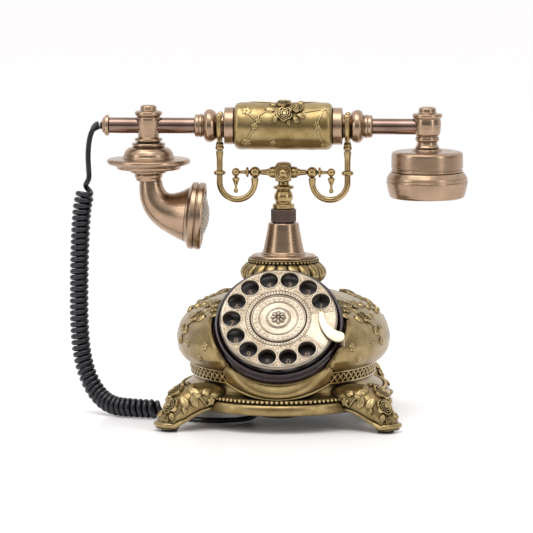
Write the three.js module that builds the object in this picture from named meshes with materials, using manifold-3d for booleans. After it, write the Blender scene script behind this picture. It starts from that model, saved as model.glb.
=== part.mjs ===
// Antique-style rotary telephone: an oval footed base with a tilted dial, a pillar that carries a sprung
// cradle, and a bar-shaped handset on a curly cord. Millimetres, +Z up, front towards -Y.
// Everything is drawn with the pillar's axis at x = y = 0 and the table at z = 0, and the whole group is
// moved at the end so that its origin is the middle of the footprint.
import * as THREE from "three";
import { mergeVertices } from "three/addons/utils/BufferGeometryUtils.js";
import Module from "manifold-3d";

const wasm = await Module();
wasm.setup();

// ---------------------------------------------------------------- driving dimensions
const GAP = 0.3; // between pieces that touch on the real object
const SIDES = 16; // facets round an ordinary turned piece
const OVAL_SIDES = 32; // facets round the oval base
const EXTRA_DEPTH = 27; // how much deeper than wide the oval base is, each side
const OVAL_FROM = 30; // the radius where the oval starts to grow out of the round pillar
const OVAL_FULL = 82; // the radius where it is fully oval

const PAD_HEIGHT = 1.5;
const BASE_UNDER = 13.9; // underside of the base casting's skirt
const BASE_TOP = 36.4;
const BAND_TOP = 46.3;
const BODY_TOP = 108.6;
const FOOT = { x: 88.2, y: 97.7, radius: 9.5 };
const LEG_ROOT = { x: 55, y: 70, half: 20 };
const REAR_INSET = 12; // how much closer to the middle each rear leg stands

const DIAL_TILT = THREE.MathUtils.degToRad(40.2); // how far the dial's face looks up
const DIAL_CENTRE = new THREE.Vector3(0, -84, 89.7); // middle of the finger plate's front face
const DIAL_RADIUS = 47.6;
const PLATE_THICKNESS = 4.4;
const HOLE_CIRCLE = 37.7;
const HOLE_RADIUS = 7.2;
const HOLES = 12;
const HOLE_PITCH = THREE.MathUtils.degToRad(360 / 14);
const FIRST_HOLE = THREE.MathUtils.degToRad(26.4);
const BEZEL_RADIUS = 51.7;
const BEZEL_FRONT = -6; // along the dial's own axis, from the finger plate's front face
const BEZEL_BACK = -15.4;
const DRUM_RADIUS = 54;
const DRUM_WALL = 3.2;
const DRUM_SIDES = 32;
const BEZEL_SEAT = 53.2; // radius of the recess in the body that holds the bezel
const STOP_POST = { x: 51.9, y: -19.5, radius: 2 };
const SHAFT_RADIUS = 3.1;
const GEAR = { teeth: 36, module: 1.2, thickness: 2.2, at: -27 };
const PINION_TEETH = 12;

const PLUNGER_RADIUS = 3.8;
const CRADLE_Z = 199.8;
const HOOK_X = 38; // middle of each U-shaped hook
const HOOK_RADIUS = 14.4;
const HOOK_TUBE = 2.5;
const HOOK_TOP = 217;
const FORK_X = HOOK_X + HOOK_RADIUS;
const PRONG_RADIUS = 2.2;
const PRONG_TOP = 248;

const HANDSET_Z = 237.8;
const NECK_RADIUS = 9.6;
const TUBE_RADIUS = 6.5;
const GRIP_HALF = 40;
const GRIP_RADIUS = 19.75;
const MOUTH_X = -110.8;
const EAR_X = 117.6;

const CORD_RADIUS = 1.9;
const COIL_RADIUS = 7.5;

// The cord's route, hand-placed points of its middle line.
const LEAD_TOP = [
  [-151.4, 0, 237.8],
  [-153.8, 0, 237],
  [-156.6, 0, 234],
  [-158.8, 0, 228.5],
  [-160.2, 0, 220],
  [-160.6, 0, 211],
  [-160.2, 0, 202],
  [-160, 0, 195],
  [-160.8, 0, 189.2],
];
const COIL = [
  [-161.5, 0, 186.4],
  [-164, 0, 178],
  [-166, 0, 166],
  [-167.6, 0, 139],
  [-168.4, 0, 105],
  [-168.2, 0, 72],
  [-165.6, 0, 46],
  [-159.6, -2, 27],
  [-150, -8, 14],
  [-138, -17, 8.4],
  [-122, -26, 7.8],
  [-106, -31, 7.8],
  [-96, -33, 7.8],
];
const LEAD_BASE = [
  [-94.6, -33.3, 7.2],
  [-90, -36, 4.4],
  [-84, -41, 2.4],
  [-72, -50, 2],
  [-60, -55.5, 2],
  [-48, -56, 2],
  [-36, -52, 2],
  [-26, -43, 2.4],
  [-20, -33, 5],
  [-17.6, -27.5, 9.6],
  [-17, -26, 13.4],
];
const CORD_SOCKET = { x: -17, y: -26 };

// ---------------------------------------------------------------- colours
function material(color, metalness, roughness) {
  return new THREE.MeshStandardMaterial({ color, metalness, roughness });
}

const antiqueGold = material(0xa68b4f, 0.85, 0.42);
const bronze = material(0xb49272, 0.95, 0.3);
const darkBronze = material(0x6b5244, 0.95, 0.22);
const antiqueBrass = material(0xa3874f, 0.95, 0.33);
const champagne = material(0xd6cbb4, 0.9, 0.38);
const nutBrown = material(0x5b4540, 0.8, 0.45);
const blackGloss = material(0x2b2230, 0.1, 0.15);
const blackPlastic = material(0x1d1c20, 0.0, 0.5);
const cordBlack = material(0x1c1b26, 0.0, 0.45);
const rubberGrey = material(0x3a3a3a, 0.0, 0.9);
const steel = material(0xb9bcc0, 0.95, 0.35);
const bellBrass = material(0xc9a860, 0.95, 0.25);
const boardGreen = material(0x2d6a3f, 0.1, 0.6);
const copper = material(0xb06a3b, 0.9, 0.4);

// ---------------------------------------------------------------- solids
// A closed geometry as a manifold solid, turned the right way out.
function solid(geometry) {
  const bare = geometry.clone();
  bare.deleteAttribute("normal");
  bare.deleteAttribute("uv");
  const merged = mergeVertices(bare, 1e-4);
  const corners = merged.index.array;
  const kept = [];
  for (let i = 0; i < corners.length; i += 3) {
    const [a, b, c] = [corners[i], corners[i + 1], corners[i + 2]];
    if (a !== b && b !== c && a !== c) kept.push(a, b, c);
  }
  const make = (triangles) =>
    new wasm.Manifold(
      new wasm.Mesh({
        numProp: 3,
        vertProperties: merged.attributes.position.array,
        triVerts: new Uint32Array(triangles),
      }),
    );
  const made = make(kept);
  if (made.volume() >= 0) return made;
  for (let i = 0; i < kept.length; i += 3) [kept[i], kept[i + 1]] = [kept[i + 1], kept[i]];
  return make(kept);
}

function geometryOf(manifold) {
  const mesh = manifold.getMesh();
  const positions = new Float32Array(mesh.numVert * 3);
  for (let i = 0; i < mesh.numVert; i++) {
    positions.set(mesh.vertProperties.subarray(i * mesh.numProp, i * mesh.numProp + 3), i * 3);
  }
  const geometry = new THREE.BufferGeometry();
  geometry.setAttribute("position", new THREE.BufferAttribute(positions, 3));
  geometry.setIndex(new THREE.BufferAttribute(new Uint32Array(mesh.triVerts), 1));
  geometry.computeVertexNormals();
  return geometry;
}

const join = (...solids) => solids.reduce((all, next) => all.add(next));
const cut = (from, ...tools) => tools.reduce((left, tool) => left.subtract(tool), from);

// Turned about the Z axis from points of radius and height.
function turned(profile, sides = SIDES) {
  const points = profile.map(([r, z]) => new THREE.Vector2(r, z));
  return new THREE.LatheGeometry(points, sides).rotateX(Math.PI / 2);
}

// A ring's profile closes on itself, so its first point comes again at the end.
const ring = (profile, sides) => turned([...profile, profile[0]], sides);

// Stands on z = bottom, in the middle of (x, y).
function rod(radius, bottom, top, x = 0, y = 0, sides = SIDES) {
  const geometry = new THREE.CylinderGeometry(radius, radius, top - bottom, sides);
  return solid(geometry.rotateX(Math.PI / 2).translate(x, y, (bottom + top) / 2));
}

function block(x0, x1, y0, y1, z0, z1) {
  const geometry = new THREE.BoxGeometry(x1 - x0, y1 - y0, z1 - z0);
  return solid(geometry.translate((x0 + x1) / 2, (y0 + y1) / 2, (z0 + z1) / 2));
}

// The base's plan: round near the pillar and oval, deeper than wide, at the skirt.
const depthOf = (r) => r + EXTRA_DEPTH * THREE.MathUtils.smoothstep(r, OVAL_FROM, OVAL_FULL);

function oval(geometry) {
  const place = geometry.attributes.position;
  for (let i = 0; i < place.count; i++) {
    const r = Math.hypot(place.getX(i), place.getY(i));
    if (r > 0) place.setY(i, (place.getY(i) / r) * depthOf(r));
  }
  return geometry;
}

const ovalRing = (profile) => solid(oval(ring(profile, OVAL_SIDES)));

// A tube of a given radius along a curve, with flat ends.
function tube(points, radius, steps, sides = 8) {
  const path = new THREE.CatmullRomCurve3(points.map((p) => new THREE.Vector3(...p)));
  return along(path, radius, steps, sides);
}

function along(path, radius, steps, sides) {
  const section = new THREE.Shape();
  for (let i = 0; i < sides; i++) {
    const angle = (2 * Math.PI * i) / sides;
    const [x, y] = [radius * Math.cos(angle), radius * Math.sin(angle)];
    if (i) section.lineTo(x, y);
    else section.moveTo(x, y);
  }
  section.closePath();
  return solid(new THREE.ExtrudeGeometry(section, { steps, extrudePath: path, curveSegments: 1 }));
}

// A shape drawn in a plane and given a thickness along +Z.
function slab(shape, thickness, curveSegments = 12) {
  return new THREE.ExtrudeGeometry(shape, { depth: thickness, bevelEnabled: false, curveSegments });
}

function polygon(points) {
  return new THREE.Shape(points.map(([x, y]) => new THREE.Vector2(x, y)));
}

// Points of an arc, for outlines and profiles. Angles in degrees.
function arc(cx, cy, radius, from, to, count) {
  return Array.from({ length: count + 1 }, (_, i) => {
    const angle = THREE.MathUtils.degToRad(from + ((to - from) * i) / count);
    return [cx + radius * Math.cos(angle), cy + radius * Math.sin(angle)];
  });
}

const phone = new THREE.Group();

function add(name, shape, look, parent = phone) {
  const geometry = shape.isBufferGeometry ? geometryOf(solid(shape)) : geometryOf(shape);
  const mesh = new THREE.Mesh(geometry, look);
  mesh.name = name;
  parent.add(mesh);
  return mesh;
}

const moved = (shape, x, y, z) => solid(geometryOf(shape).translate(x, y, z));
const corners = [
  ["front_left", -1, -1],
  ["front_right", 1, -1],
  ["rear_left", -1, 1],
  ["rear_right", 1, 1],
];

// ---------------------------------------------------------------- the dial's own frame
// Local z = 0 is the finger plate's front face, +Z looks out of the dial and +Y is up its face.
const dialTurn = new THREE.Euler(Math.PI / 2 - DIAL_TILT, 0, 0);
const dialMatrix = new THREE.Matrix4().compose(
  DIAL_CENTRE,
  new THREE.Quaternion().setFromEuler(dialTurn),
  new THREE.Vector3(1, 1, 1),
);
const inDial = (shape) => solid(geometryOf(shape).applyMatrix4(dialMatrix));
const dialGroup = new THREE.Group();
dialGroup.position.copy(DIAL_CENTRE);
dialGroup.rotation.copy(dialTurn);
phone.add(dialGroup);

// ---------------------------------------------------------------- base
const inset = (sideY) => (sideY > 0 ? REAR_INSET : 0);

// One leg: a side profile that runs out from the skirt to the toe, trimmed to a tapering plan.
function leg(sideX, sideY) {
  const reach = Math.hypot(FOOT.x - LEG_ROOT.x, FOOT.y - LEG_ROOT.y);
  const toe = reach + FOOT.radius;
  const sole = PAD_HEIGHT + GAP;
  const profile = polygon([
    [-8, BASE_UNDER + 2],
    [8, BASE_UNDER],
    [14, 12],
    [reach - 10, 5],
    [reach - 8, sole],
    [toe - 2, sole],
    [toe, sole + 2.2],
    [toe - 1.4, 8],
    [toe - 6, 15],
    [reach - 8, 26],
    [reach - 16, 33],
    [10, 35],
    [-8, 33],
  ]);
  const side = slab(profile, 2 * LEG_ROOT.half).translate(0, 0, -LEG_ROOT.half).rotateX(Math.PI / 2);
  const plan = polygon([
    [-8, -LEG_ROOT.half],
    ...arc(reach, 0, FOOT.radius, -70, 70, 8),
    [-8, LEG_ROOT.half],
  ]);
  const made = solid(side).intersect(solid(slab(plan, 40)));
  const angle = Math.atan2(sideY * (FOOT.y - LEG_ROOT.y), sideX * (FOOT.x - LEG_ROOT.x));
  const placed = geometryOf(made).rotateZ(angle);
  return solid(placed.translate(sideX * (LEG_ROOT.x - inset(sideY)), sideY * LEG_ROOT.y, 0));
}

const BOSS = { r: 73.5, angle: 24, radius: 4.6, top: 30 };
const COVER_BOTTOM = 15;
const COVER_TOP = 17.2;
const COVER_RIM = 78.4;
const bosses = corners.map(([name, sx, sy]) => {
  const angle = THREE.MathUtils.degToRad(BOSS.angle);
  return [name, sx * BOSS.r * Math.cos(angle), sy * depthOf(BOSS.r) * Math.sin(angle)];
});
const drumClearance = inDial(rod(DRUM_RADIUS + GAP, -90, -10, 0, 0, DRUM_SIDES));
const lineOpening = block(-7.5, 7.5, 95, 125, 17.9, 27.5);

function baseCasting() {
  const skirt = ovalRing([
    [79, BASE_UNDER],
    [84.8, BASE_UNDER],
    [87.4, 17],
    [86.4, 22],
    [83.6, 24.8],
    [77, 27],
    [73.6, 32],
    [73, BASE_TOP],
    [69, BASE_TOP],
    [69.5, 30],
    [79, 21.5],
  ]);
  const hollow = [
    [0, -1],
    [79, -1],
    [79, 21.5],
    [69.5, 30],
    [69, 40],
    [0, 40],
  ];
  const inner = solid(oval(turned(hollow, OVAL_SIDES)));
  const legs = corners.map(([, sx, sy]) => leg(sx, sy).subtract(inner));
  const posts = bosses.map(([, x, y]) => rod(BOSS.radius, COVER_TOP + GAP, BOSS.top, x, y, 10));
  const holes = bosses.map(([, x, y]) => rod(2, 0, BOSS.top - 3, x, y, 8));
  return cut(join(skirt, ...legs, ...posts), ...holes, drumClearance, lineOpening);
}

add("base_casting", baseCasting(), antiqueGold);

const bandProfile = [
  [72, BASE_TOP + GAP],
  [75.2, BASE_TOP + GAP],
  [76.4, 39],
  [76.6, 44],
  [77.2, BAND_TOP],
  [73, BAND_TOP],
];
add("lattice_band", cut(ovalRing(bandProfile), drumClearance), antiqueGold);

for (const [name, sx, sy] of corners) {
  const x = sx * (FOOT.x - 1 - inset(sy));
  add("foot_pad_" + name, rod(6.5, 0, PAD_HEIGHT, x, sy * (FOOT.y - 1), 12), rubberGrey);
}

function bodyShell() {
  const outside = [
    [77, BAND_TOP + GAP],
    [83.6, 51.6],
    [87, 60],
    [87, 68.5],
    [82.6, 80],
    [70, 91],
    [48, 99.4],
    [34, 103.4],
    [29, BODY_TOP],
  ];
  const inside = [
    [8.2, BODY_TOP],
    [8.2, 101.4],
    [33, 99.6],
    [66, 89],
    [79, 78],
    [83.2, 66],
    [82.4, 58],
    [73, BAND_TOP + GAP],
  ];
  const hollow = [[0, 20], [73, 20], ...inside.slice(2).reverse(), [0, 101.4]];
  const dome = ovalRing([...outside, ...inside]);
  const drum = cut(
    inDial(rod(DRUM_RADIUS, -66, BEZEL_BACK - GAP, 0, 0, DRUM_SIDES)),
    block(-99, 99, -160, 60, -40, 27.4),
    solid(oval(turned(hollow, OVAL_SIDES))),
    solid(oval(turned([[0, 0], [78, 0], [78, BAND_TOP], [0, BAND_TOP]], OVAL_SIDES))).subtract(
      block(-DRUM_RADIUS - 2, DRUM_RADIUS + 2, -160, -40, -1, BAND_TOP + 1),
    ),
  );
  const bore = inDial(rod(DRUM_RADIUS - DRUM_WALL, -90, 10, 0, 0, DRUM_SIDES));
  const seat = inDial(rod(BEZEL_SEAT, BEZEL_BACK - GAP, 60, 0, 0, DRUM_SIDES));
  const stopHole = inDial(rod(STOP_POST.radius + GAP, BEZEL_BACK - GAP, 60, STOP_POST.x, STOP_POST.y, 12));
  const collarSeat = rod(36.8, BODY_TOP - 0.1, 140);
  return cut(join(dome, drum), bore, seat, stopHole, collarSeat);
}

add("body_shell", bodyShell(), antiqueGold);

// The lobed collar under the pillar, with a ring of beads on top.
function gadroonCollar() {
  const lobes = 20;
  const steps = 2;
  const profile = [
    [PLUNGER_RADIUS + 0.8, 109],
    [29.5, 109],
    [35, 114.2],
    [36, 118.4],
    [34.6, 123],
    [28.6, 127],
    [28.6, 129.6],
    [PLUNGER_RADIUS + 0.8, 129.6],
  ];
  const geometry = ring(profile, lobes * steps);
  const place = geometry.attributes.position;
  for (let i = 0; i < place.count; i++) {
    const [x, y, z] = [place.getX(i), place.getY(i), place.getZ(i)];
    const r = Math.hypot(x, y);
    const swell = Math.max(0, 1 - Math.abs(z - 118.4) / 8.6) * Math.min(1, Math.max(0, (r - 29.5) / 2));
    const groove = 1 - Math.abs(Math.cos((lobes / 2) * Math.atan2(y, x)));
    const k = 1 - (2.6 * groove ** 3 * swell) / Math.max(r, 1);
    place.setXY(i, x * k, y * k);
  }
  return solid(geometry);
}

add("gadroon_collar", gadroonCollar(), antiqueGold);

const CONE_BASE = 129.9;
const CONE_TOP = 158.6;
const NUT_TOP = 169.9;
add(
  "pillar_cone",
  ring([
    [26.5, CONE_BASE],
    [26.5, CONE_BASE + 1.4],
    [25.6, 132.2],
    [18.6, 132.4],
    [17, 133.6],
    [14.6, 146],
    [12.5, CONE_TOP],
    [PLUNGER_RADIUS + 0.5, CONE_TOP],
    [PLUNGER_RADIUS + 0.5, 156.6],
    [8.6, 156.6],
    [8.6, CONE_BASE],
  ]),
  bronze,
);
add(
  "knurled_nut",
  cut(rod(10.4, CONE_TOP + GAP, NUT_TOP, 0, 0, 24), rod(PLUNGER_RADIUS + 0.5, 150, 180)),
  nutBrown,
);

// ---------------------------------------------------------------- inside the base
function bottomCover() {
  const edge = [[0, COVER_BOTTOM], [COVER_RIM, COVER_BOTTOM], [COVER_RIM, COVER_TOP], [0, COVER_TOP]];
  const plate = solid(oval(turned(edge, OVAL_SIDES)));
  const holes = bosses.map(([, x, y]) => rod(2, 0, 40, x, y, 8));
  const { x, y } = CORD_SOCKET;
  const slots = [-1, 0, 1].map((i) => block(-18, 18, 58 + 8 * i - 1.6, 58 + 8 * i + 1.6, 0, 40));
  return cut(plate, ...holes, block(x - 7, x + 7, y - 7, y + 7, 0, 40), ...slots);
}

add("bottom_cover", bottomCover(), blackPlastic);
for (const [name, x, y] of bosses) {
  const profile = [[0, 12.6], [3, 12.6], [3.6, 13.4], [3.6, 14.7], [1.6, 14.7], [1.6, 25], [0, 26.2]];
  const screw = moved(solid(turned(profile, 8)), x, y, 0);
  const slot = block(x - 2.4, x + 2.4, y - 0.4, y + 0.4, 12, 13.4);
  add("cover_screw_" + name, cut(screw, slot), steel);
}

function cordSocket() {
  const { x, y } = CORD_SOCKET;
  const housing = block(x - 6.6, x + 6.6, y - 6.6, y + 6.6, COVER_BOTTOM - 0.9, 30);
  return cut(housing, block(x - 3.4, x + 3.4, y - 3.4, y + 3.4, 14, 26));
}

add("cord_socket", cordSocket(), blackPlastic);
add(
  "line_socket",
  cut(block(-7.1, 7.1, 97, 112.4, 18.3, 27.1), block(-5, 5, 100, 115, 20, 25.4)),
  blackPlastic,
);
const BOARD = { x: [-62, -28], y: [-8, 24], bottom: COVER_TOP + 6 };
const PEG_INSET = 3;
const boardPegs = BOARD.x.flatMap((x, i) =>
  BOARD.y.map((y, j) => {
    const [pegX, pegY] = [x + PEG_INSET * (1 - 2 * i), y + PEG_INSET * (1 - 2 * j)];
    return rod(1.6, COVER_TOP + GAP, BOARD.bottom + 1, pegX, pegY, 6);
  }),
);
const board = block(...BOARD.x, ...BOARD.y, BOARD.bottom, BOARD.bottom + 1.6);
add("circuit_board", join(board, ...boardPegs), boardGreen);

// The switch under the cradle's plunger: a pedestal, the switch itself and its button.
function hookSwitch() {
  const pedestal = block(-12, 12, -7, 7, COVER_TOP + GAP, 59);
  const body = block(-9, 9, -5, 5, 58, 74);
  const button = block(-2.2, 2.2, -2.2, 2.2, 73, 79.4);
  return join(pedestal, body, button);
}

add("hook_switch", hookSwitch(), blackPlastic);

// The bell: two gongs, a coil between their posts and a clapper that swings from one to the other.
const GONG = { x: 27, y: 50, radius: 20, bottom: 33 };
for (const [side, name] of [[-1, "gong_left"], [1, "gong_right"]]) {
  const dome = ring([
    ...arc(0, GONG.bottom, GONG.radius, 0, 72, 3),
    [3, GONG.bottom + 19.6],
    [3, COVER_TOP + GAP],
    [1, COVER_TOP + GAP],
    [1, GONG.bottom + 17],
    ...arc(0, GONG.bottom, GONG.radius - 1.8, 76, 0, 3),
  ], 14);
  const open = rod(6, COVER_TOP - 1, GONG.bottom + 1, 0, 0, 12).subtract(rod(3, 0, 60));
  add(name, moved(cut(solid(dome), open), side * GONG.x, GONG.y, 0), bellBrass);
}
add("ringer_coil", join(rod(8, 22, 38, 0, 76, 16), block(-4, 4, 72, 80, COVER_TOP + GAP, 41)), copper);
const CLAPPER = { pivotY: 24, ballRadius: 4, z: 37 };
add(
  "clapper",
  join(
    rod(2.4, COVER_TOP + GAP, CLAPPER.z + 3, 0, CLAPPER.pivotY, 12),
    block(-0.9, 0.9, CLAPPER.pivotY, GONG.y, CLAPPER.z - 0.9, CLAPPER.z + 0.9),
    moved(solid(new THREE.SphereGeometry(CLAPPER.ballRadius, 10, 6)), 0, GONG.y, CLAPPER.z),
  ),
  steel,
);

// ---------------------------------------------------------------- dial
add(
  "dial_bezel",
  ring([
    [12, -12.6],
    [47.4, -12.6],
    [48.6, -7],
    [50.2, BEZEL_FRONT],
    [BEZEL_RADIUS, BEZEL_FRONT - 0.8],
    [52.4, BEZEL_BACK],
    [12, BEZEL_BACK],
  ], DRUM_SIDES),
  blackGloss,
  dialGroup,
);
const numberRing = [[10, -12.2], [46.8, -12.2], [46.8, -8.2], [45.4, -7.6], [10, -7.6]];
add("number_plate", ring(numberRing, 30), blackPlastic, dialGroup);

function fingerPlate() {
  const profile = [
    [3.4, -PLATE_THICKNESS],
    [46, -PLATE_THICKNESS],
    [DIAL_RADIUS, -2.8],
    [DIAL_RADIUS, -1.2],
    [46.4, 0],
    [22.8, 0],
    [22.8, -1.8],
    [3.4, -1.8],
  ];
  const holes = Array.from({ length: HOLES }, (_, i) => {
    const angle = FIRST_HOLE + i * HOLE_PITCH;
    return rod(HOLE_RADIUS, -9, 9, HOLE_CIRCLE * Math.cos(angle), HOLE_CIRCLE * Math.sin(angle), 10);
  });
  return cut(solid(ring(profile, 32)), ...holes);
}

add("finger_plate", fingerPlate(), champagne, dialGroup);
add(
  "dial_medallion",
  turned([
    [0, -1.5],
    [22.5, -1.5],
    [22.5, 0.3],
    [21.6, 0.9],
    [15.6, 0.9],
    [15, 0.4],
    [10.4, 0.6],
    [9.4, 1.9],
    [4, 2.6],
    [0, 2.7],
  ], 24),
  champagne,
  dialGroup,
);
add("dial_shaft", rod(SHAFT_RADIUS, -34, -1.9, 0, 0, 20), steel, dialGroup);

// The stop: a curved blade above the plate whose outer end stands on the drum's rim.
function fingerStop() {
  const outline = new THREE.Shape();
  outline.moveTo(32.4, 4.6);
  outline.quadraticCurveTo(31.6, -5, 35.6, -12.4);
  outline.quadraticCurveTo(39.6, -20.4, 45.4, -23.2);
  outline.quadraticCurveTo(51.6, -25.4, 54, -20.4);
  outline.quadraticCurveTo(54.8, -14.4, 49.2, -13.6);
  outline.quadraticCurveTo(43.4, -11, 40.2, -5.8);
  outline.quadraticCurveTo(37.4, -1.6, 36.6, 4.4);
  outline.quadraticCurveTo(34.6, 6.2, 32.4, 4.6);
  const blade = solid(slab(outline, 1.8, 5).translate(0, 0, 1.4));
  const post = rod(STOP_POST.radius, BEZEL_BACK, 2, STOP_POST.x, STOP_POST.y, 12);
  return join(blade, post);
}

add("finger_stop", fingerStop(), champagne, dialGroup);

const gearAt = -(BEZEL_BACK - 3);
const pinionX = (GEAR.module * (GEAR.teeth + PINION_TEETH)) / 2;
add(
  "dial_frame",
  cut(
    join(
      rod(36, -gearAt - 3, -gearAt, 0, 0, 30),
      rod(7, -gearAt - 6, -gearAt, 0, 0, 14),
      ...[90, 210, 330].map((angle) => {
        const [x, y] = arc(0, 0, 31, angle, angle, 1)[0];
        return rod(2.4, -gearAt - 1, BEZEL_BACK - GAP, x, y, 8);
      }),
    ),
    rod(SHAFT_RADIUS + 0.1, -40, 0, 0, 0, 28),
    rod(1.7, -40, 0, pinionX, 0, 14),
  ),
  steel,
  dialGroup,
);

// A spur gear with straight-sided teeth, thinned so that the pair runs with play.
function gear(teeth, bore) {
  const pitch = (GEAR.module * teeth) / 2;
  const [root, tip] = [pitch - 1.1, pitch + 0.7];
  const step = (2 * Math.PI) / teeth;
  const outline = [];
  for (let i = 0; i < teeth; i++) {
    for (const [r, share] of [[root, -0.3], [tip, -0.1], [tip, 0.1], [root, 0.3]]) {
      const angle = (i + share) * step;
      outline.push([r * Math.cos(angle), r * Math.sin(angle)]);
    }
  }
  return cut(solid(slab(polygon(outline), GEAR.thickness)), rod(bore, -1, GEAR.thickness + 1, 0, 0, 20));
}

const mainGear = moved(gear(GEAR.teeth, SHAFT_RADIUS + GAP), 0, 0, GEAR.at);
add("dial_gear", mainGear, bellBrass, dialGroup);
const halfTooth = Math.PI / PINION_TEETH;
const pinion = join(
  moved(solid(geometryOf(gear(PINION_TEETH, 1)).rotateZ(halfTooth)), pinionX, 0, GEAR.at),
  rod(1.55, -42, -16.4, pinionX, 0, 12),
  rod(7, -42, -33, pinionX, 0, 14),
);
add("governor", pinion, steel, dialGroup);

// ---------------------------------------------------------------- cradle
const SPRING = { bottom: CONE_BASE + 0.1, top: 149, radius: 6.4, wire: 0.7, turns: 5 };
add(
  "cradle_post",
  turned([
    [0, 80],
    [PLUNGER_RADIUS, 80],
    [PLUNGER_RADIUS, 149.4],
    [7.4, 149.4],
    [7.4, 151.4],
    [PLUNGER_RADIUS, 151.4],
    [PLUNGER_RADIUS, 170.2],
    [9, 170.2],
    [9, 174.2],
    [6.4, 175],
    [7.6, 178.6],
    [7.6, 181.4],
    [5.4, 186],
    [8.6, 186.4],
    [8.6, 188.6],
    [4.6, 189.4],
    [4.4, 192.6],
    [0, 192.6],
  ], 16),
  antiqueBrass,
);
class SpringLine extends THREE.Curve {
  getPoint(t, target = new THREE.Vector3()) {
    const angle = 2 * Math.PI * SPRING.turns * t;
    const low = SPRING.bottom + SPRING.wire + 0.1;
    const high = SPRING.top - SPRING.wire;
    const [x, y] = [SPRING.radius * Math.cos(angle), SPRING.radius * Math.sin(angle)];
    return target.set(x, y, low + (high - low) * t);
  }
}
add("hook_spring", along(new SpringLine(), SPRING.wire, 45, 5), steel);

const hub = join(
  block(-6.4, 6.4, -6.4, 6.4, CRADLE_Z - 6.9, CRADLE_Z + 8.6),
  solid(new THREE.CylinderGeometry(6.9, 7.2, 3, 16).translate(0, -7.8, CRADLE_Z)),
  solid(new THREE.SphereGeometry(4.3, 12, 8).translate(0, -9.4, CRADLE_Z)),
  solid(new THREE.CylinderGeometry(7.2, 6.9, 3, 16).translate(0, 7.8, CRADLE_Z)),
);
add("cradle_hub", hub, antiqueBrass);

// Each arm carries a big ball, a disc and a small end ball with a drop pendant under it.
for (const [side, name] of [[-1, "left"], [1, "right"]]) {
  const bar = solid(
    turned([
      [0, 6.4 + GAP],
      [4.6, 6.4 + GAP],
      [4.9, 9.2],
      [4.4, 11.4],
      [3.4, 11.8],
      [2.3, 18.9],
      ...arc(23.4, 0, 4.7, 160, 20, 4).map(([z, r]) => [r, z]),
      [1.5, 28.6],
      [4.3, 29],
      [4.3, 30.4],
      [1.5, 30.8],
      [1.4, 35.8],
      ...arc(39.1, 0, 3.5, 155, 0, 3).map(([z, r]) => [r, z]),
    ], 10).rotateY(Math.PI / 2).translate(0, 0, CRADLE_Z),
  );
  const pendant = solid(
    turned([
      [0, 198],
      [1, 198],
      [1, 195.2],
      [3.2, 194.6],
      [2.8, 193],
      [1, 188.4],
      [0.9, 186.4],
      [1.9, 184.8],
      [1.4, 183],
      [0, 182.6],
    ], 8),
  );
  const arm = join(bar, moved(pendant, 39.1, 0, 0));
  const hook = hookShape();
  const fork = forkShape();
  const flip = (shape) => (side > 0 ? shape : shape.mirror([1, 0, 0]));
  add("arm_" + name, flip(arm), antiqueBrass);
  add("hook_" + name, flip(hook), antiqueBrass);
  add("fork_" + name, flip(fork), antiqueBrass);
}

function hookShape() {
  const low = CRADLE_Z - 8.2;
  const path = [
    [HOOK_X - HOOK_RADIUS, 0, CRADLE_Z - 4.9],
    [HOOK_X - HOOK_RADIUS, 0, low],
    ...arc(HOOK_X, low, HOOK_RADIUS, 195, 345, 8).map(([x, z]) => [x, 0, z]),
    [FORK_X, 0, low],
    [FORK_X, 0, CRADLE_Z],
    [FORK_X, 0, HOOK_TOP],
  ];
  const collar = ring([[0.8, 197.6], [4, 197.6], [5.2, 199.2], [4, 201], [0.8, 201]], 12);
  return join(tube(path, HOOK_TUBE, 20, 6), solid(collar.translate(FORK_X, 0, 0)));
}

function forkShape() {
  const sweep = NECK_RADIUS + 0.4 + PRONG_RADIUS;
  const path = [
    [FORK_X, -sweep, PRONG_TOP],
    ...arc(0, HANDSET_Z, sweep, 180, 360, 12).map(([y, z]) => [FORK_X, y, z]),
    [FORK_X, sweep, PRONG_TOP],
  ];
  const foot = HOOK_TOP + GAP;
  const profile = [[0, foot], [HOOK_TUBE, foot], [3.6, 220], [3.4, 222.4], [2.4, 225.4], [0, 225.4]];
  const stem = turned(profile, 12);
  return join(tube(path, PRONG_RADIUS, 18, 6), solid(stem.translate(FORK_X, 0, 0)));
}

// ---------------------------------------------------------------- handset
const handset = new THREE.Group();
handset.position.z = HANDSET_Z;
phone.add(handset);

// Turned about the handset's own long axis, from points of radius and x.
const turnedX = (profile, sides = SIDES) => turned(profile, sides).rotateY(Math.PI / 2);
const boreX = (radius, from, to) => solid(turnedX([[0, from], [radius, from], [radius, to], [0, to]]));

add(
  "grip_sleeve",
  cut(
    solid(
      turnedX([
        [0, -GRIP_HALF],
        [GRIP_RADIUS - 5, -GRIP_HALF],
        [GRIP_RADIUS - 1.5, -GRIP_HALF + 1.5],
        [GRIP_RADIUS, -GRIP_HALF + 5],
        [GRIP_RADIUS, GRIP_HALF - 5],
        [GRIP_RADIUS - 1.5, GRIP_HALF - 1.5],
        [GRIP_RADIUS - 5, GRIP_HALF],
        [0, GRIP_HALF],
      ], 20),
    ),
    boreX(8, -GRIP_HALF - 1, GRIP_HALF + 1),
  ),
  antiqueGold,
  handset,
);

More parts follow.
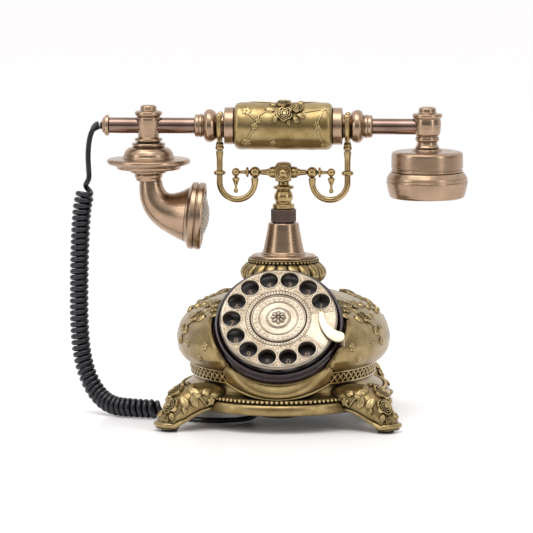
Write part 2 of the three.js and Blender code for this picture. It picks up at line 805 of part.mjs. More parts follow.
// Collar, neck for the fork, bulge and end ring, with a spigot that enters the grip.
const FERRULE = [
  [4.4, 32],
  [7.7, 32],
  [7.7, GRIP_HALF + GAP],
  [15.2, GRIP_HALF + GAP],
  [15.2, 47.2],
  [NECK_RADIUS, 48.4],
  [NECK_RADIUS, 56.6],
  [13, 59.8],
  [13, 63.2],
  [8.8, 66.8],
  [8.6, 73],
  [TUBE_RADIUS + GAP, 73],
  [TUBE_RADIUS + GAP, 60],
  [4.4, 58],
];
const ferrule = solid(turnedX([...FERRULE, FERRULE[0]]));
add("ferrule_right", ferrule, bronze, handset);
add("ferrule_left", ferrule.mirror([1, 0, 0]), bronze, handset);
const TUBE_END = -143;
const TUBE_BORE = 4.6;
const TUBE_START = 60.4; // how far from the middle each tube starts, inside its ferrule

function pipe(from, to) {
  const inside = TUBE_BORE;
  const outside = TUBE_RADIUS;
  const wall = [[inside, from], [outside, from], [outside, to], [inside, to], [inside, from]];
  return turnedX(wall, 16);
}

add("tube_left", pipe(TUBE_END, -TUBE_START), darkBronze, handset);
add("tube_right", pipe(TUBE_START, EAR_X + 8), darkBronze, handset);
add(
  "end_cap",
  turnedX([
    [1, -139],
    [4.3, -139],
    [4.3, TUBE_END - GAP],
    [8.6, TUBE_END - GAP],
    [8.6, -145.4],
    [6.4, -148.2],
    [3.4, -149.5],
    [2.6, -150.9],
    [1, -150.9],
    [1, -139],
  ], 16),
  bronze,
  handset,
);

// A vertical barrel through which the tube passes, crowned with two discs.
function knob(profile, x) {
  return moved(solid(turned(profile)), x, 0, 0).subtract(boreX(TUBE_RADIUS + GAP, -135, EAR_X + 8.3));
}

add(
  "mouth_knob",
  knob([
    [0, -13.6],
    [9, -13.6],
    [9, -12.8],
    [11.3, -12.4],
    [11.3, -10.6],
    [8.6, -9.6],
    [9.6, -4],
    [10.5, 4],
    [10.5, 6.8],
    [9, 7.6],
    [11.2, 9],
    [11.2, 11.2],
    [8.4, 12.6],
    [6.6, 13],
    [6.6, 15.4],
    [5, 16.8],
    [0, 17],
  ], MOUTH_X),
  bronze,
  handset,
);
add(
  "ear_knob",
  knob([
    [0, -17.4],
    [9.8, -17.4],
    [8, -12],
    [9.8, -11.2],
    [9.8, -8.8],
    [9, -8],
    [10.6, -6],
    [11.2, 2],
    [10.6, 6.6],
    [12.3, 7.6],
    [12.3, 10.6],
    [7.4, 11.4],
    [7, 14.6],
    [4.6, 16.2],
    [0, 16.4],
  ], EAR_X),
  bronze,
  handset,
);

// Mouthpiece: a saucer-shaped flange, a widening elbow, a rim and a pierced dome.
const ELBOW_TOP = -45.6;
add(
  "mouth_flange",
  moved(
    solid(
      turned([
        [0, -13.9],
        [13.6, -14.4],
        [13.6, -16.6],
        [17.6, -19.4],
        [20.6, -25.6],
        [33.2, -27.2],
        [34.3, -29.4],
        [33.2, -31.6],
        [26.6, -32.8],
        [26.2, -35.6],
        [15.2, -36.4],
        [14.4, -38.8],
        [11.2, -40],
        [10.4, ELBOW_TOP + GAP],
        [0, ELBOW_TOP + GAP],
      ], 24),
    ),
    MOUTH_X,
    0,
    0,
  ),
  bronze,
  handset,
);

const MOUTH = { x: -80.5, z: -73.4, tilt: THREE.MathUtils.degToRad(5), radius: 22 };
const elbowPath = new THREE.CubicBezierCurve3(
  new THREE.Vector3(-109, 0, ELBOW_TOP),
  new THREE.Vector3(-109, 0, ELBOW_TOP - 18),
  new THREE.Vector3(MOUTH.x - 19 * Math.cos(MOUTH.tilt), 0, MOUTH.z + 19 * Math.sin(MOUTH.tilt)),
  new THREE.Vector3(MOUTH.x, 0, MOUTH.z),
);

// A cylinder bent along a curve in the XZ plane, with a radius that changes on the way.
function bentHorn(path, radiusAt, rows, sides) {
  const geometry = new THREE.CylinderGeometry(1, 1, 1, sides, rows);
  const place = geometry.attributes.position;
  for (let i = 0; i < place.count; i++) {
    const t = THREE.MathUtils.clamp(0.5 - place.getY(i), 0, 1);
    const centre = path.getPointAt(t);
    const ahead = path.getTangentAt(t);
    const r = radiusAt(t);
    const [across, depth] = [place.getX(i) * r, place.getZ(i) * r];
    place.setXYZ(i, centre.x - ahead.z * across, depth, centre.z + ahead.x * across);
  }
  return solid(geometry);
}

const hornRadius = (t) => 9.3 + (MOUTH.radius - 9.3) * (0.35 * t + 0.65 * t * t);
const horn = bentHorn(elbowPath, hornRadius, 7, 16);
const hornInside = bentHorn(elbowPath, (t) => hornRadius(t) - 2.2, 7, 16);
const hornMouth = solid(
  new THREE.CylinderGeometry(MOUTH.radius - 2.2, MOUTH.radius - 2.2, 4, 16)
    .rotateZ(Math.PI / 2)
    .rotateY(MOUTH.tilt)
    .translate(MOUTH.x, 0, MOUTH.z),
);
const hornTop = solid(
  new THREE.CylinderGeometry(7.1, 7.1, 4, 16).rotateX(Math.PI / 2).translate(-109, 0, ELBOW_TOP),
);
add("mouth_elbow", cut(horn, hornInside, hornMouth, hornTop), bronze, handset);

// The rim, the pierced dome and the microphone share the horn mouth's tilted axis.
const mouth = new THREE.Group();
mouth.position.set(MOUTH.x, 0, MOUTH.z);
mouth.rotation.y = MOUTH.tilt;
handset.add(mouth);
add(
  "mouth_rim",
  turnedX([
    [19.6, GAP],
    [22.4, GAP],
    [24, 3],
    [27.6, 4.6],
    [27.6, 13.4],
    [26, 14.8],
    [23.4, 14.8],
    [23.4, 9],
    [19.6, 8],
    [19.6, GAP],
  ], 24),
  bronze,
  mouth,
);

const PIERCINGS = { count: 6, circle: 9 }; // round one in the middle

function pierced(dome, radius, from, to) {
  const holes = [[0, 0]];
  for (let i = 0; i < PIERCINGS.count; i++) {
    const angle = (2 * Math.PI * i) / PIERCINGS.count;
    holes.push([PIERCINGS.circle * Math.cos(angle), PIERCINGS.circle * Math.sin(angle)]);
  }
  return cut(dome, ...holes.map(([y, z]) => rod(radius, from, to, y, z, 6)));
}

const DOME_PROFILE = [
  [0, 19.6],
  [9, 18.4],
  [17, 15],
  [22.9, 11.4],
  [22.9, 9.6],
  [19.4, 9.6],
  [12, 13.4],
  [0, 15.8],
];
add(
  "mouth_dome",
  solid(geometryOf(pierced(solid(turned(DOME_PROFILE)), 1.2, 8, 24)).rotateY(Math.PI / 2)),
  champagne,
  mouth,
);
const capsule = [[0, 1], [12, 1], [12, 3.6], [19.2, 4], [19.2, 7], [12, 7.4], [9, 8.2], [0, 8.2]];
add("microphone", turnedX(capsule, 18), blackPlastic, mouth);

// Receiver: a drum with a bevelled listening cap under it.
add(
  "ear_cup",
  moved(
    solid(
      turned([
        [0, -17.7],
        [10.2, -17.7],
        [12.2, -18.2],
        [12.2, -19.4],
        [26.6, -19.8],
        [28.8, -21],
        [29.35, -23],
        [29.35, -36.6],
        [26.8, -36.6],
        [26.8, -22.6],
        [0, -22.6],
      ], 24),
    ),
    EAR_X,
    0,
    0,
  ),
  bronze,
  handset,
);
const capProfile = [
  [0, -51],
  [13, -52],
  [27.6, -58.6],
  [30.6, -57.6],
  [33.4, -45.4],
  [33, -42.4],
  [29.6, -36.9],
  [26.4, -36.9],
  [26.4, -44],
  [0, -44],
];
add(
  "ear_cap",
  moved(pierced(solid(turned(capProfile, 24)), 1.5, -60, -40), EAR_X, 0, 0),
  bronze,
  handset,
);
const speaker = [[0, -43.6], [22, -43.6], [24, -41], [24, -36], [11, -34], [10, -30], [0, -30]];
add("ear_speaker", moved(solid(turned(speaker, 18)), EAR_X, 0, 0), blackPlastic, handset);

// ---------------------------------------------------------------- cord
const cords = new THREE.Group();
add("cord_lead_handset", tube(LEAD_TOP, CORD_RADIUS, 16), cordBlack, cords);
add("cord_coil", tube(COIL, COIL_RADIUS, 26, 8), cordBlack, cords);
add("cord_lead_base", tube(LEAD_BASE, CORD_RADIUS, 26), cordBlack, cords);

// The origin is the middle of the footprint, measured without the cord.
const footprint = new THREE.Box3().setFromObject(phone);
const middle = footprint.getCenter(new THREE.Vector3());
phone.add(cords);
phone.position.set(-middle.x, -middle.y, 0);

export default phone;
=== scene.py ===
import math

import bpy
import numpy as np
from mathutils import Matrix, Vector, noise


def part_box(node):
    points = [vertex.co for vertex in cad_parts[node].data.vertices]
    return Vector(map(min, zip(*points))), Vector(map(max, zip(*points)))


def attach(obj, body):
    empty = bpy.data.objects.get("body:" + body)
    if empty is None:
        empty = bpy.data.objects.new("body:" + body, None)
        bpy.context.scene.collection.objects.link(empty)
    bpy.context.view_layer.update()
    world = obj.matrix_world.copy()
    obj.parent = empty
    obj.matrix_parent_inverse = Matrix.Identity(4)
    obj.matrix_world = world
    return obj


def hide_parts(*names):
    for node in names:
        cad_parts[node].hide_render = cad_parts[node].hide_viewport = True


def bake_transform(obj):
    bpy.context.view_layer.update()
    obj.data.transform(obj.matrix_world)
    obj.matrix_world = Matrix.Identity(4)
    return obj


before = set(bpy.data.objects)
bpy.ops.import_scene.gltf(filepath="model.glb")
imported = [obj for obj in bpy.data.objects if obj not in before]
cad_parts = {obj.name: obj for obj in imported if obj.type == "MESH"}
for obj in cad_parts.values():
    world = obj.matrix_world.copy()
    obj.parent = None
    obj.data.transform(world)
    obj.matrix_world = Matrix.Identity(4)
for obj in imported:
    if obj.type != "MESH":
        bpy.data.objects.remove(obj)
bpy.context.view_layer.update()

# Looks of an antique-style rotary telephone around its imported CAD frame. Shapes are worked out in millimetres
# with the pillar's axis at x = y = 0, the front towards -Y and the table at z = 0. place() turns them into
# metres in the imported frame.

MM = 0.001

# ------------------------------------------------------------------ places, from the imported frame


def middle(node):
    low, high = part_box(node)
    return (np.array(low) + np.array(high)) / 2 / MM


AXIS = middle("pillar_cone") * (1, 1, 0)


def place(points):
    return (np.asarray(points, float) + AXIS) * MM


DIAL_TILT = math.radians(40.2)
DIAL_CENTRE = np.array([0, -84, 89.7])
DIAL_RIGHT = np.array([1.0, 0.0, 0.0])
DIAL_UP = np.array([0.0, math.sin(DIAL_TILT), math.cos(DIAL_TILT)])
DIAL_OUT = np.array([0.0, -math.cos(DIAL_TILT), math.sin(DIAL_TILT)])
HANDSET_Z = 237.8
CRADLE_Z = 199.8


def from_dial(points):
    points = np.asarray(points, float)
    return DIAL_CENTRE + points @ np.array([DIAL_RIGHT, DIAL_UP, DIAL_OUT])


def to_dial(points):
    return (np.asarray(points, float) - DIAL_CENTRE) @ np.array([DIAL_RIGHT, DIAL_UP, DIAL_OUT]).T


def smoothstep(x, low, high):
    t = np.clip((np.asarray(x, float) - low) / (high - low), 0, 1)
    return t * t * (3 - 2 * t)


def depth_of(r):
    """The oval base's half depth where its half width is r."""
    return r + 27 * smoothstep(r, 30, 82)


# ------------------------------------------------------------------ shapes


class Shape:
    """Points in millimetres, arrays of faces with 3 or 4 corners each, and caps with any number of
    corners."""

    def __init__(self, points, faces, caps=()):
        self.points = np.asarray(points, float).reshape(-1, 3)
        self.faces = [np.asarray(f, int) for f in faces if len(f)]
        self.caps = [np.asarray(c, int) for c in caps]

    def map(self, change):
        return Shape(change(self.points), self.faces, self.caps)

    def moved(self, x=0.0, y=0.0, z=0.0):
        return Shape(self.points + (x, y, z), self.faces, self.caps)

    def flipped(self):
        return Shape(self.points, [f[:, ::-1] for f in self.faces], [c[::-1] for c in self.caps])

    def mirrored(self):
        return Shape(self.points * (-1, 1, 1), self.faces, self.caps).flipped()


def joined(shapes):
    points = []
    faces = []
    caps = []
    count = 0
    for shape in shapes:
        points.append(shape.points)
        faces += [f + count for f in shape.faces]
        caps += [c + count for c in shape.caps]
        count += len(shape.points)
    return Shape(np.concatenate(points), faces, caps)


def welded(shape):
    """Corners at one place become one, and the faces that this flattens lose a corner or go."""
    keys = np.round(shape.points, 4)
    _, first, back = np.unique(keys, axis=0, return_index=True, return_inverse=True)
    back = back.ravel()
    kept = []
    for faces in shape.faces:
        faces = back[faces]
        doubled = faces == np.roll(faces, 1, axis=1)
        lost = doubled.sum(axis=1)
        kept.append(faces[lost == 0])
        thinned = lost == 1
        kept.append(faces[thinned][~doubled[thinned]].reshape(-1, faces.shape[1] - 1))
    return Shape(shape.points[first], kept, [back[c] for c in shape.caps])


def grid(points, wrap_rows=False, wrap_columns=True):
    """A sheet of quads over rows of points. Its front is on the left of the rows' direction, seen
    from above."""
    rows, columns = points.shape[:2]
    index = np.arange(rows * columns).reshape(rows, columns)
    if wrap_rows:
        index = np.vstack([index, index[:1]])
    if wrap_columns:
        index = np.hstack([index, index[:, :1]])
    corners = [index[:-1, :-1], index[:-1, 1:], index[1:, 1:], index[1:, :-1]]
    return Shape(points.reshape(-1, 3), [np.stack(corners, -1).reshape(-1, 4)])


def spline(points, count):
    """Evenly spread points on a smooth curve through the given ones."""
    points = np.asarray(points, float)
    padded = np.vstack([2 * points[0] - points[1], points, 2 * points[-1] - points[-2]])
    dense = []
    for i in range(len(points) - 1):
        a, b, c, d = padded[i : i + 4]
        t = np.linspace(0, 1, 40, endpoint=False)[:, None]
        dense.append(
            0.5 * (2 * b + (c - a) * t + (2 * a - 5 * b + 4 * c - d) * t**2 + (3 * b - a - 3 * c + d) * t**3)
        )
    dense = np.vstack([*dense, points[-1:]])
    return evenly(dense, count)


def evenly(points, count):
    steps = np.linalg.norm(np.diff(points, axis=0), axis=1)
    along = np.concatenate([[0], np.cumsum(steps)])
    at = np.linspace(0, along[-1], count)
    return np.stack([np.interp(at, along, points[:, k]) for k in range(points.shape[1])], -1)


def length_of(points):
    return float(np.linalg.norm(np.diff(np.asarray(points, float), axis=0), axis=1).sum())


def rounded(profile, radius=0.5, steps=3):
    """The profile with its corners rounded, and a point on each side to keep the straight parts straight."""
    profile = [np.array(p, float) for p in profile]
    made = [profile[0]]
    for before, corner, after in zip(profile, profile[1:], profile[2:]):
        back, ahead = before - corner, after - corner
        reach = min(radius, 0.36 * np.linalg.norm(back), 0.36 * np.linalg.norm(ahead))
        start = corner + back / np.linalg.norm(back) * reach
        end = corner + ahead / np.linalg.norm(ahead) * reach
        made.append(corner + back / np.linalg.norm(back) * reach * 1.25)
        for t in np.linspace(0, 1, steps + 1):
            made.append((1 - t) ** 2 * start + 2 * t * (1 - t) * corner + t * t * end)
        made.append(corner + ahead / np.linalg.norm(ahead) * reach * 1.25)
    made.append(profile[-1])
    return np.array(made)


def turned(profile, sides=96, radius=0.5, closed=False):
    """Turned about Z from points of radius and height, which run upwards on the outside."""
    profile = list(profile)
    line = rounded(
        [*profile, profile[0]] if closed else profile, radius,
    ) if radius else np.array(profile, float)
    if closed:
        line = line[:-1]
    angles = np.linspace(0, 2 * math.pi, sides, endpoint=False)
    ring = np.stack([np.cos(angles), np.sin(angles), np.zeros(sides)], -1)
    points = line[:, None, :1] * ring + np.stack([np.zeros(len(line))] * 2 + [line[:, 1]], -1)[:, None]
    return welded(grid(points, wrap_rows=closed))


def lay_on_x(shape):
    """Turns a shape made about Z so that its axis runs along X."""
    return shape.map(lambda p: np.stack([p[:, 2], p[:, 1], -p[:, 0]], -1))


def frames_along(path):
    """A direction and two crossing directions at each point, carried along without twist."""
    ahead = np.gradient(path, axis=0)
    ahead /= np.linalg.norm(ahead, axis=1)[:, None]
    start = np.cross(ahead[0], (0.31, 0.87, 0.38))
    side = start / np.linalg.norm(start)
    sides = []
    for direction in ahead:
        side = side - direction * (side @ direction)
        side = side / np.linalg.norm(side)
        sides.append(side)
    sides = np.array(sides)
    return ahead, sides, np.cross(ahead, sides)


def tube(path, radii, sides=12, capped=True):
    path = np.asarray(path, float)
    radii = np.broadcast_to(np.asarray(radii, float), len(path))
    _, one, two = frames_along(path)
    angles = np.linspace(0, 2 * math.pi, sides, endpoint=False)
    around = np.cos(angles)[None, :, None] * one[:, None] + np.sin(angles)[None, :, None] * two[:, None]
    points = path[:, None] + radii[:, None, None] * around
    if not capped:
        return grid(points)
    ends = [np.repeat(path[i][None, None], sides, 1) for i in (0, -1)]
    return welded(grid(np.concatenate([ends[0], points, ends[1]])))


def ball(radius, sides=16, rows=10, squash=1.0):
    angles = np.linspace(-math.pi / 2, math.pi / 2, rows)
    return turned([(radius * math.cos(a), radius * squash * math.sin(a)) for a in angles], sides, radius=0)


def outline_slab(outline, bottom, top, bevel=0.5, steps=3):
    """A flat shape with rounded edges, from a closed outline that runs anticlockwise."""
    outline = np.asarray(outline, float)
    ahead = np.roll(outline, -1, 0) - np.roll(outline, 1, 0)
    outward = np.stack([ahead[:, 1], -ahead[:, 0]], -1)
    outward /= np.linalg.norm(outward, axis=1)[:, None]
    turn = np.linspace(0, math.pi / 2, steps + 1)
    insets = np.concatenate([bevel * (1 - np.sin(turn)), bevel * (1 - np.cos(turn))])
    heights = np.concatenate([bottom + bevel * (1 - np.cos(turn)), top - bevel * (1 - np.sin(turn))])
    rings = [
        np.column_stack([outline - outward * i, np.full(len(outline), z)]) for i, z in zip(insets, heights)
    ]
    sheet = grid(np.array(rings))
    count = len(outline)
    last = (len(rings) - 1) * count
    return Shape(sheet.points, sheet.faces, [np.arange(count)[::-1], np.arange(last, last + count)])


# ------------------------------------------------------------------ pieces


def make_mesh(name, shape):
    mesh = bpy.data.meshes.new(name)
    faces = [f for f in shape.faces if len(f)]
    loops = np.concatenate([f.ravel() for f in faces])
    counts = np.concatenate([np.full(len(f), f.shape[1]) for f in faces])
    if shape.caps:
        loops = np.concatenate([loops, *shape.caps])
        counts = np.concatenate([counts, [len(c) for c in shape.caps]])
    mesh.vertices.add(len(shape.points))
    mesh.vertices.foreach_set("co", place(shape.points).ravel())
    mesh.loops.add(len(loops))
    mesh.loops.foreach_set("vertex_index", loops.astype(np.int32))
    mesh.polygons.add(len(counts))
    mesh.polygons.foreach_set("loop_start", np.concatenate([[0], np.cumsum(counts)[:-1]]).astype(np.int32))
    mesh.update(calc_edges=True)
    mesh.validate()
    return mesh


def piece(name, shape, body, look, stands_for=(), sharp=38):
    mesh = make_mesh(name, shape)
    mesh.polygons.foreach_set("use_smooth", np.ones(len(mesh.polygons), bool))
    mesh.set_sharp_from_angle(angle=math.radians(sharp))
    mesh.materials.append(look)
    made = bpy.data.objects.new(name, mesh)
    bpy.context.scene.collection.objects.link(made)
    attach(made, body)
    if stands_for:
        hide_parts(*stands_for)
    return made


# ------------------------------------------------------------------ materials


class Look:
    """A procedural material: a Principled shader and short ways to feed it."""

    def __init__(self, name, color, metallic, roughness):
        self.material = bpy.data.materials.new(name)
        self.material.use_nodes = True
        self.tree = self.material.node_tree
        self.shader = self.tree.nodes["Principled BSDF"]
        self.set("Base Color", (*color, 1))
        self.set("Metallic", metallic)
        self.set("Roughness", roughness)
        self.place = self.node("ShaderNodeTexCoord").outputs["Object"]
        self.normal = None

    def node(self, kind, inputs=None, **settings):
        made = self.tree.nodes.new(kind)
        for name, value in settings.items():
            setattr(made, name, value)
        for name, value in (inputs or {}).items():
            if isinstance(value, bpy.types.NodeSocket):
                self.tree.links.new(value, made.inputs[name])
            else:
                made.inputs[name].default_value = value
        return made

    def set(self, name, value):
        self.shader.inputs[name].default_value = value

    def feed(self, name, socket):
        self.tree.links.new(socket, self.shader.inputs[name])

    def noise(self, size, detail=3.0, rough=0.55, stretch=(1, 1, 1)):
        """Noise whose lumps are about size millimetres across, longer where stretch is above 1."""
        scale = [1 / (size * MM * s) for s in stretch]
        spread = self.node("ShaderNodeMapping", {"Vector": self.place, "Scale": scale})
        inputs = {"Vector": spread.outputs[0], "Scale": 1.0, "Detail": detail, "Roughness": rough}
        return self.node("ShaderNodeTexNoise", inputs).outputs["Fac"]

    def cells(self, size, feature="F1"):
        inputs = {"Vector": self.place, "Scale": 1 / (size * MM)}
        return self.node("ShaderNodeTexVoronoi", inputs, feature=feature).outputs["Distance"]

    def ranged(self, value, low, high, to_low=0.0, to_high=1.0):
        inputs = {"Value": value, "From Min": low, "From Max": high, "To Min": to_low, "To Max": to_high}
        return self.node("ShaderNodeMapRange", inputs).outputs[0]

    def mixed(self, share, one, two, blend="MIX"):
        node = self.node("ShaderNodeMix", data_type="RGBA", blend_type=blend)
        for socket, value in ((node.inputs[0], share), (node.inputs[6], one), (node.inputs[7], two)):
            if isinstance(value, bpy.types.NodeSocket):
                self.tree.links.new(value, socket)
            elif isinstance(value, tuple):
                socket.default_value = (*value, 1)
            else:
                socket.default_value = value
        return node.outputs[2]

    def hollows(self, reach):
        """From 0 deep in a hollow to 1 in the open, looking reach millimetres around."""
        return self.node("ShaderNodeAmbientOcclusion", {"Distance": reach * MM}, samples=8).outputs["AO"]

    def edges(self):
        return self.node("ShaderNodeNewGeometry").outputs["Pointiness"]

    def bump(self, height, depth, strength=1.0):
        inputs = {"Height": height, "Distance": depth * MM, "Strength": strength}
        if self.normal is not None:
            inputs["Normal"] = self.normal
        self.normal = self.node("ShaderNodeBump", inputs).outputs[0]
        self.feed("Normal", self.normal)


def aged_gold(name, light, mid, grime_and_shade, roughness, reach=4.0, shut=0.60, clear=0.97):
    """Cast relief: dark lacquer and painted shade in its hollows; high places worn bright, partly painted
    highlight.
    """
    look = Look(name, mid, 0.92, roughness)
    patches = look.noise(14, 4, 0.6)
    fine = look.noise(1.4, 4, 0.65)
    body = look.mixed(look.ranged(patches, 0.35, 0.68), mid, light)
    body = look.mixed(look.ranged(fine, 0.58, 0.8), body, grime_and_shade)
    # Convex edges lighter: partly rubbed wear, partly painted highlight.
    rubbed_and_highlight = look.ranged(look.edges(), 0.515, 0.57)
    body = look.mixed(rubbed_and_highlight, body, light)
    # Darker in hollows: partly the casting's dark lacquer, partly painted shade where little light reaches.
    open_unshaded_part = look.ranged(look.hollows(reach), shut, clear)
    look.feed("Base Color", look.mixed(open_unshaded_part, grime_and_shade, body))
    shine = look.ranged(open_unshaded_part, 0, 1, roughness + 0.22, roughness - 0.02)
    look.feed("Roughness", shine)
    look.bump(look.noise(0.9, 4, 0.7), 0.12, 0.35)
    look.bump(look.noise(6, 2, 0.5), 0.35, 0.25)
    return look.material


def brushed(name, color, shade, roughness, across, metallic=0.96, depth=0.02):
    """Plated metal with fine turning lines; across names the axis that the lines go round."""
    look = Look(name, color, metallic, roughness)
    stretch = [60 if axis != across else 1 for axis in "xyz"]
    lines = look.noise(0.22, 2, 0.5, stretch)
    clouds = look.noise(22, 3, 0.5)
    tint = look.mixed(look.ranged(clouds, 0.35, 0.7), color, shade)
    # Painted shade: the colour darkens in hollows and creases, where little light reaches.
    tint = look.mixed(
        look.ranged(look.hollows(1.6), 0.45, 0.9, 0.75, 0.0), tint, tuple(c * 0.22 for c in color)
    )
    look.feed("Base Color", look.mixed(look.ranged(lines, 0.45, 0.75, 0, 0.35), tint, shade))
    look.feed("Roughness", look.ranged(lines, 0.3, 0.7, roughness - 0.05, roughness + 0.08))
    look.bump(lines, depth, 0.5)
    return look.material


def moulded(name, color, roughness, grain=0.5, depth=0.04, metallic=0.0):
    look = Look(name, color, metallic, roughness)
    speckle = look.noise(grain, 3, 0.6)
    look.feed(
        "Base Color",
        look.mixed(speckle, tuple(c * 0.75 for c in color), tuple(min(1, c * 1.3) for c in color))
    )
    look.feed("Roughness", look.ranged(speckle, 0.3, 0.7, roughness - 0.05, roughness + 0.08))
    look.bump(speckle, depth, 0.5)
    return look.material


GOLD_LIGHT = (0.58, 0.44, 0.215)
GOLD_MID = (0.255, 0.180, 0.072)
# Dark colour for grime specks, and for hollows, where it is partly lacquer and partly painted shade.
GOLD_GRIME_AND_SHADE = (0.020, 0.012, 0.004)
gold = aged_gold("antique_gold", (0.40, 0.30, 0.14), GOLD_MID, GOLD_GRIME_AND_SHADE, 0.33)
relief_gold = aged_gold(
    "relief_gold", GOLD_LIGHT, (0.34, 0.25, 0.11), GOLD_GRIME_AND_SHADE, 0.30, reach=2.0, shut=0.48, clear=0.93,
)
bronze = brushed("bronze", (0.42, 0.295, 0.20), (0.31, 0.21, 0.135), 0.25, "z")
bronze_x = brushed("bronze_turned_on_x", (0.42, 0.295, 0.20), (0.31, 0.21, 0.135), 0.25, "x")
dark_bronze = brushed("dark_bronze", (0.26, 0.175, 0.14), (0.17, 0.11, 0.085), 0.13, "x")
brass = brushed("antique_brass", (0.46, 0.34, 0.165), (0.30, 0.21, 0.09), 0.2, "z", depth=0.01)
nut_brown = brushed("nut_brown", (0.16, 0.11, 0.095), (0.08, 0.055, 0.045), 0.4, "z")
steel = brushed("steel", (0.56, 0.57, 0.59), (0.42, 0.43, 0.45), 0.32, "z")
bell_brass = brushed("bell_brass", (0.72, 0.52, 0.24), (0.58, 0.40, 0.17), 0.25, "z")
black_gloss = moulded("black_gloss", (0.020, 0.010, 0.013), 0.12, grain=3.0, depth=0.02)
black_plastic = moulded("black_plastic", (0.018, 0.018, 0.020), 0.5)
dial_black = moulded("dial_black", (0.008, 0.005, 0.005), 0.5)
board_green = moulded("board_green", (0.03, 0.17, 0.07), 0.45, grain=1.5)
copper_wire = moulded("copper_wire", (0.42, 0.15, 0.05), 0.3, grain=0.3, depth=0.1, metallic=0.6)
pad_rubber = moulded("pad_rubber", (0.03, 0.03, 0.03), 0.8, grain=0.4, depth=0.08)
cord_black = moulded("cord_black", (0.004, 0.0035, 0.008), 0.27, grain=0.35, depth=0.03)
digit_brown = moulded("digit_brown", (0.30, 0.20, 0.13), 0.5, grain=0.3)


def champagne_look(name, stipple, low=(0.27, 0.222, 0.165), high=(0.40, 0.345, 0.27)):
    """Pale gold plate. The stippled one has a hammered field with dark in its pits."""
    look = Look(name, low, 0.9, 0.34)
    clouds = look.noise(12, 3, 0.5)
    tint = look.mixed(look.ranged(clouds, 0.35, 0.7), low, high)
    if stipple:
        pits = look.ranged(look.cells(1.05), 0.12, 0.62)
        tint = look.mixed(look.ranged(pits, 0.45, 1.0, 0, 0.8), tint, (0.11, 0.075, 0.04))
        look.bump(pits, 0.3, -0.8)
    # Painted shade: the plate darkens in the hollows of its relief.
    dark = look.ranged(look.hollows(1.2), 0.45, 0.9, 0.8, 0.0)
    look.feed("Base Color", look.mixed(dark, tint, (0.05, 0.032, 0.018)))
    look.feed("Roughness", look.ranged(look.noise(2, 3, 0.6), 0.3, 0.7, 0.26, 0.42))
    look.bump(look.noise(0.5, 2, 0.5), 0.02, 0.4)
    return look.material


champagne = champagne_look("champagne", False)
champagne_stippled = champagne_look("champagne_stippled", True)

# ------------------------------------------------------------------ camera, light and floor

CAMERA_AIM = (-14, 0, 122)
CAMERA_AZIMUTH = math.radians(3.0)  # towards the right of straight ahead
CAMERA_HEIGHT = math.radians(6.6)  # above the horizon
CAMERA_DISTANCE = 4000


def add_camera():
    towards = Vector((
        math.sin(CAMERA_AZIMUTH) * math.cos(CAMERA_HEIGHT),
        -math.cos(CAMERA_AZIMUTH) * math.cos(CAMERA_HEIGHT),
        math.sin(CAMERA_HEIGHT),
    ))
    data = bpy.data.cameras.new("camera")
    data.lens = 329
    data.sensor_width = 36
    data.clip_end = 40
    camera = bpy.data.objects.new("camera", data)
    bpy.context.scene.collection.objects.link(camera)
    camera.location = Vector(place(CAMERA_AIM)) + towards * CAMERA_DISTANCE * MM
    camera.rotation_euler = (-towards).to_track_quat("-Z", "Y").to_euler()
    bpy.context.scene.camera = camera


def add_softbox(name, location, size, power, aim=(0, 0, 0.12)):
    data = bpy.data.lights.new(name, "AREA")
    data.shape = "RECTANGLE"
    data.size, data.size_y = size
    data.energy = power
    lamp = bpy.data.objects.new(name, data)
    bpy.context.scene.collection.objects.link(lamp)
    lamp.location = location
    lamp.rotation_euler = (Vector(aim) - Vector(location)).to_track_quat("-Z", "Y").to_euler()


def add_world():
    """A white studio: bright above and behind the object, dim in front of it where the room is dark."""
    world = bpy.data.worlds.new("studio")
    bpy.context.scene.world = world
    world.use_nodes = True
    tree = world.node_tree
    background = tree.nodes["Background"]
    way = tree.nodes.new("ShaderNodeTexCoord")
    parts = tree.nodes.new("ShaderNodeSeparateXYZ")
    tree.links.new(way.outputs["Generated"], parts.inputs[0])
    shares = []
    for axis, low, high, top in (("Y", -0.2, 0.6, 0.95), ("Z", 0.05, 0.75, 1.05)):
        ramp = tree.nodes.new("ShaderNodeMapRange")
        ramp.interpolation_type = "SMOOTHSTEP"
        for key, value in (("From Min", low), ("From Max", high), ("To Min", 0.0), ("To Max", top)):
            ramp.inputs[key].default_value = value
        tree.links.new(parts.outputs[axis], ramp.inputs["Value"])
        shares.append(ramp.outputs[0])
    most = tree.nodes.new("ShaderNodeMath")
    most.operation = "MAXIMUM"
    for share, socket in zip(shares, most.inputs):
        tree.links.new(share, socket)
    total = tree.nodes.new("ShaderNodeMath")
    total.operation = "ADD"
    total.inputs[1].default_value = 0.10
    tree.links.new(most.outputs[0], total.inputs[0])
    tree.links.new(total.outputs[0], background.inputs["Strength"])
    background.inputs["Color"].default_value = (1, 0.985, 0.99, 1)


def add_floor():
    bpy.ops.mesh.primitive_circle_add(vertices=64, radius=9, fill_type="NGON", location=(0, 0, -0.0002))
    floor = bpy.context.object
    floor.name = "floor"
    look = Look("floor", (0.95, 0.935, 0.94), 0, 0.24)
    look.set("Specular IOR Level", 0.2)
    floor.data.materials.append(look.material)


add_camera()
add_world()
add_floor()
add_softbox("softbox_top", (-0.25, -0.45, 1.7), (1.5, 0.9), 15)
add_softbox("softbox_left", (-1.5, -0.9, 0.75), (0.5, 1.3), 5.5)
add_softbox("softbox_right", (1.35, -1.15, 0.7), (0.35, 1.2), 4.5)
bpy.context.scene.view_settings.view_transform = "Standard"

# ------------------------------------------------------------------ cord

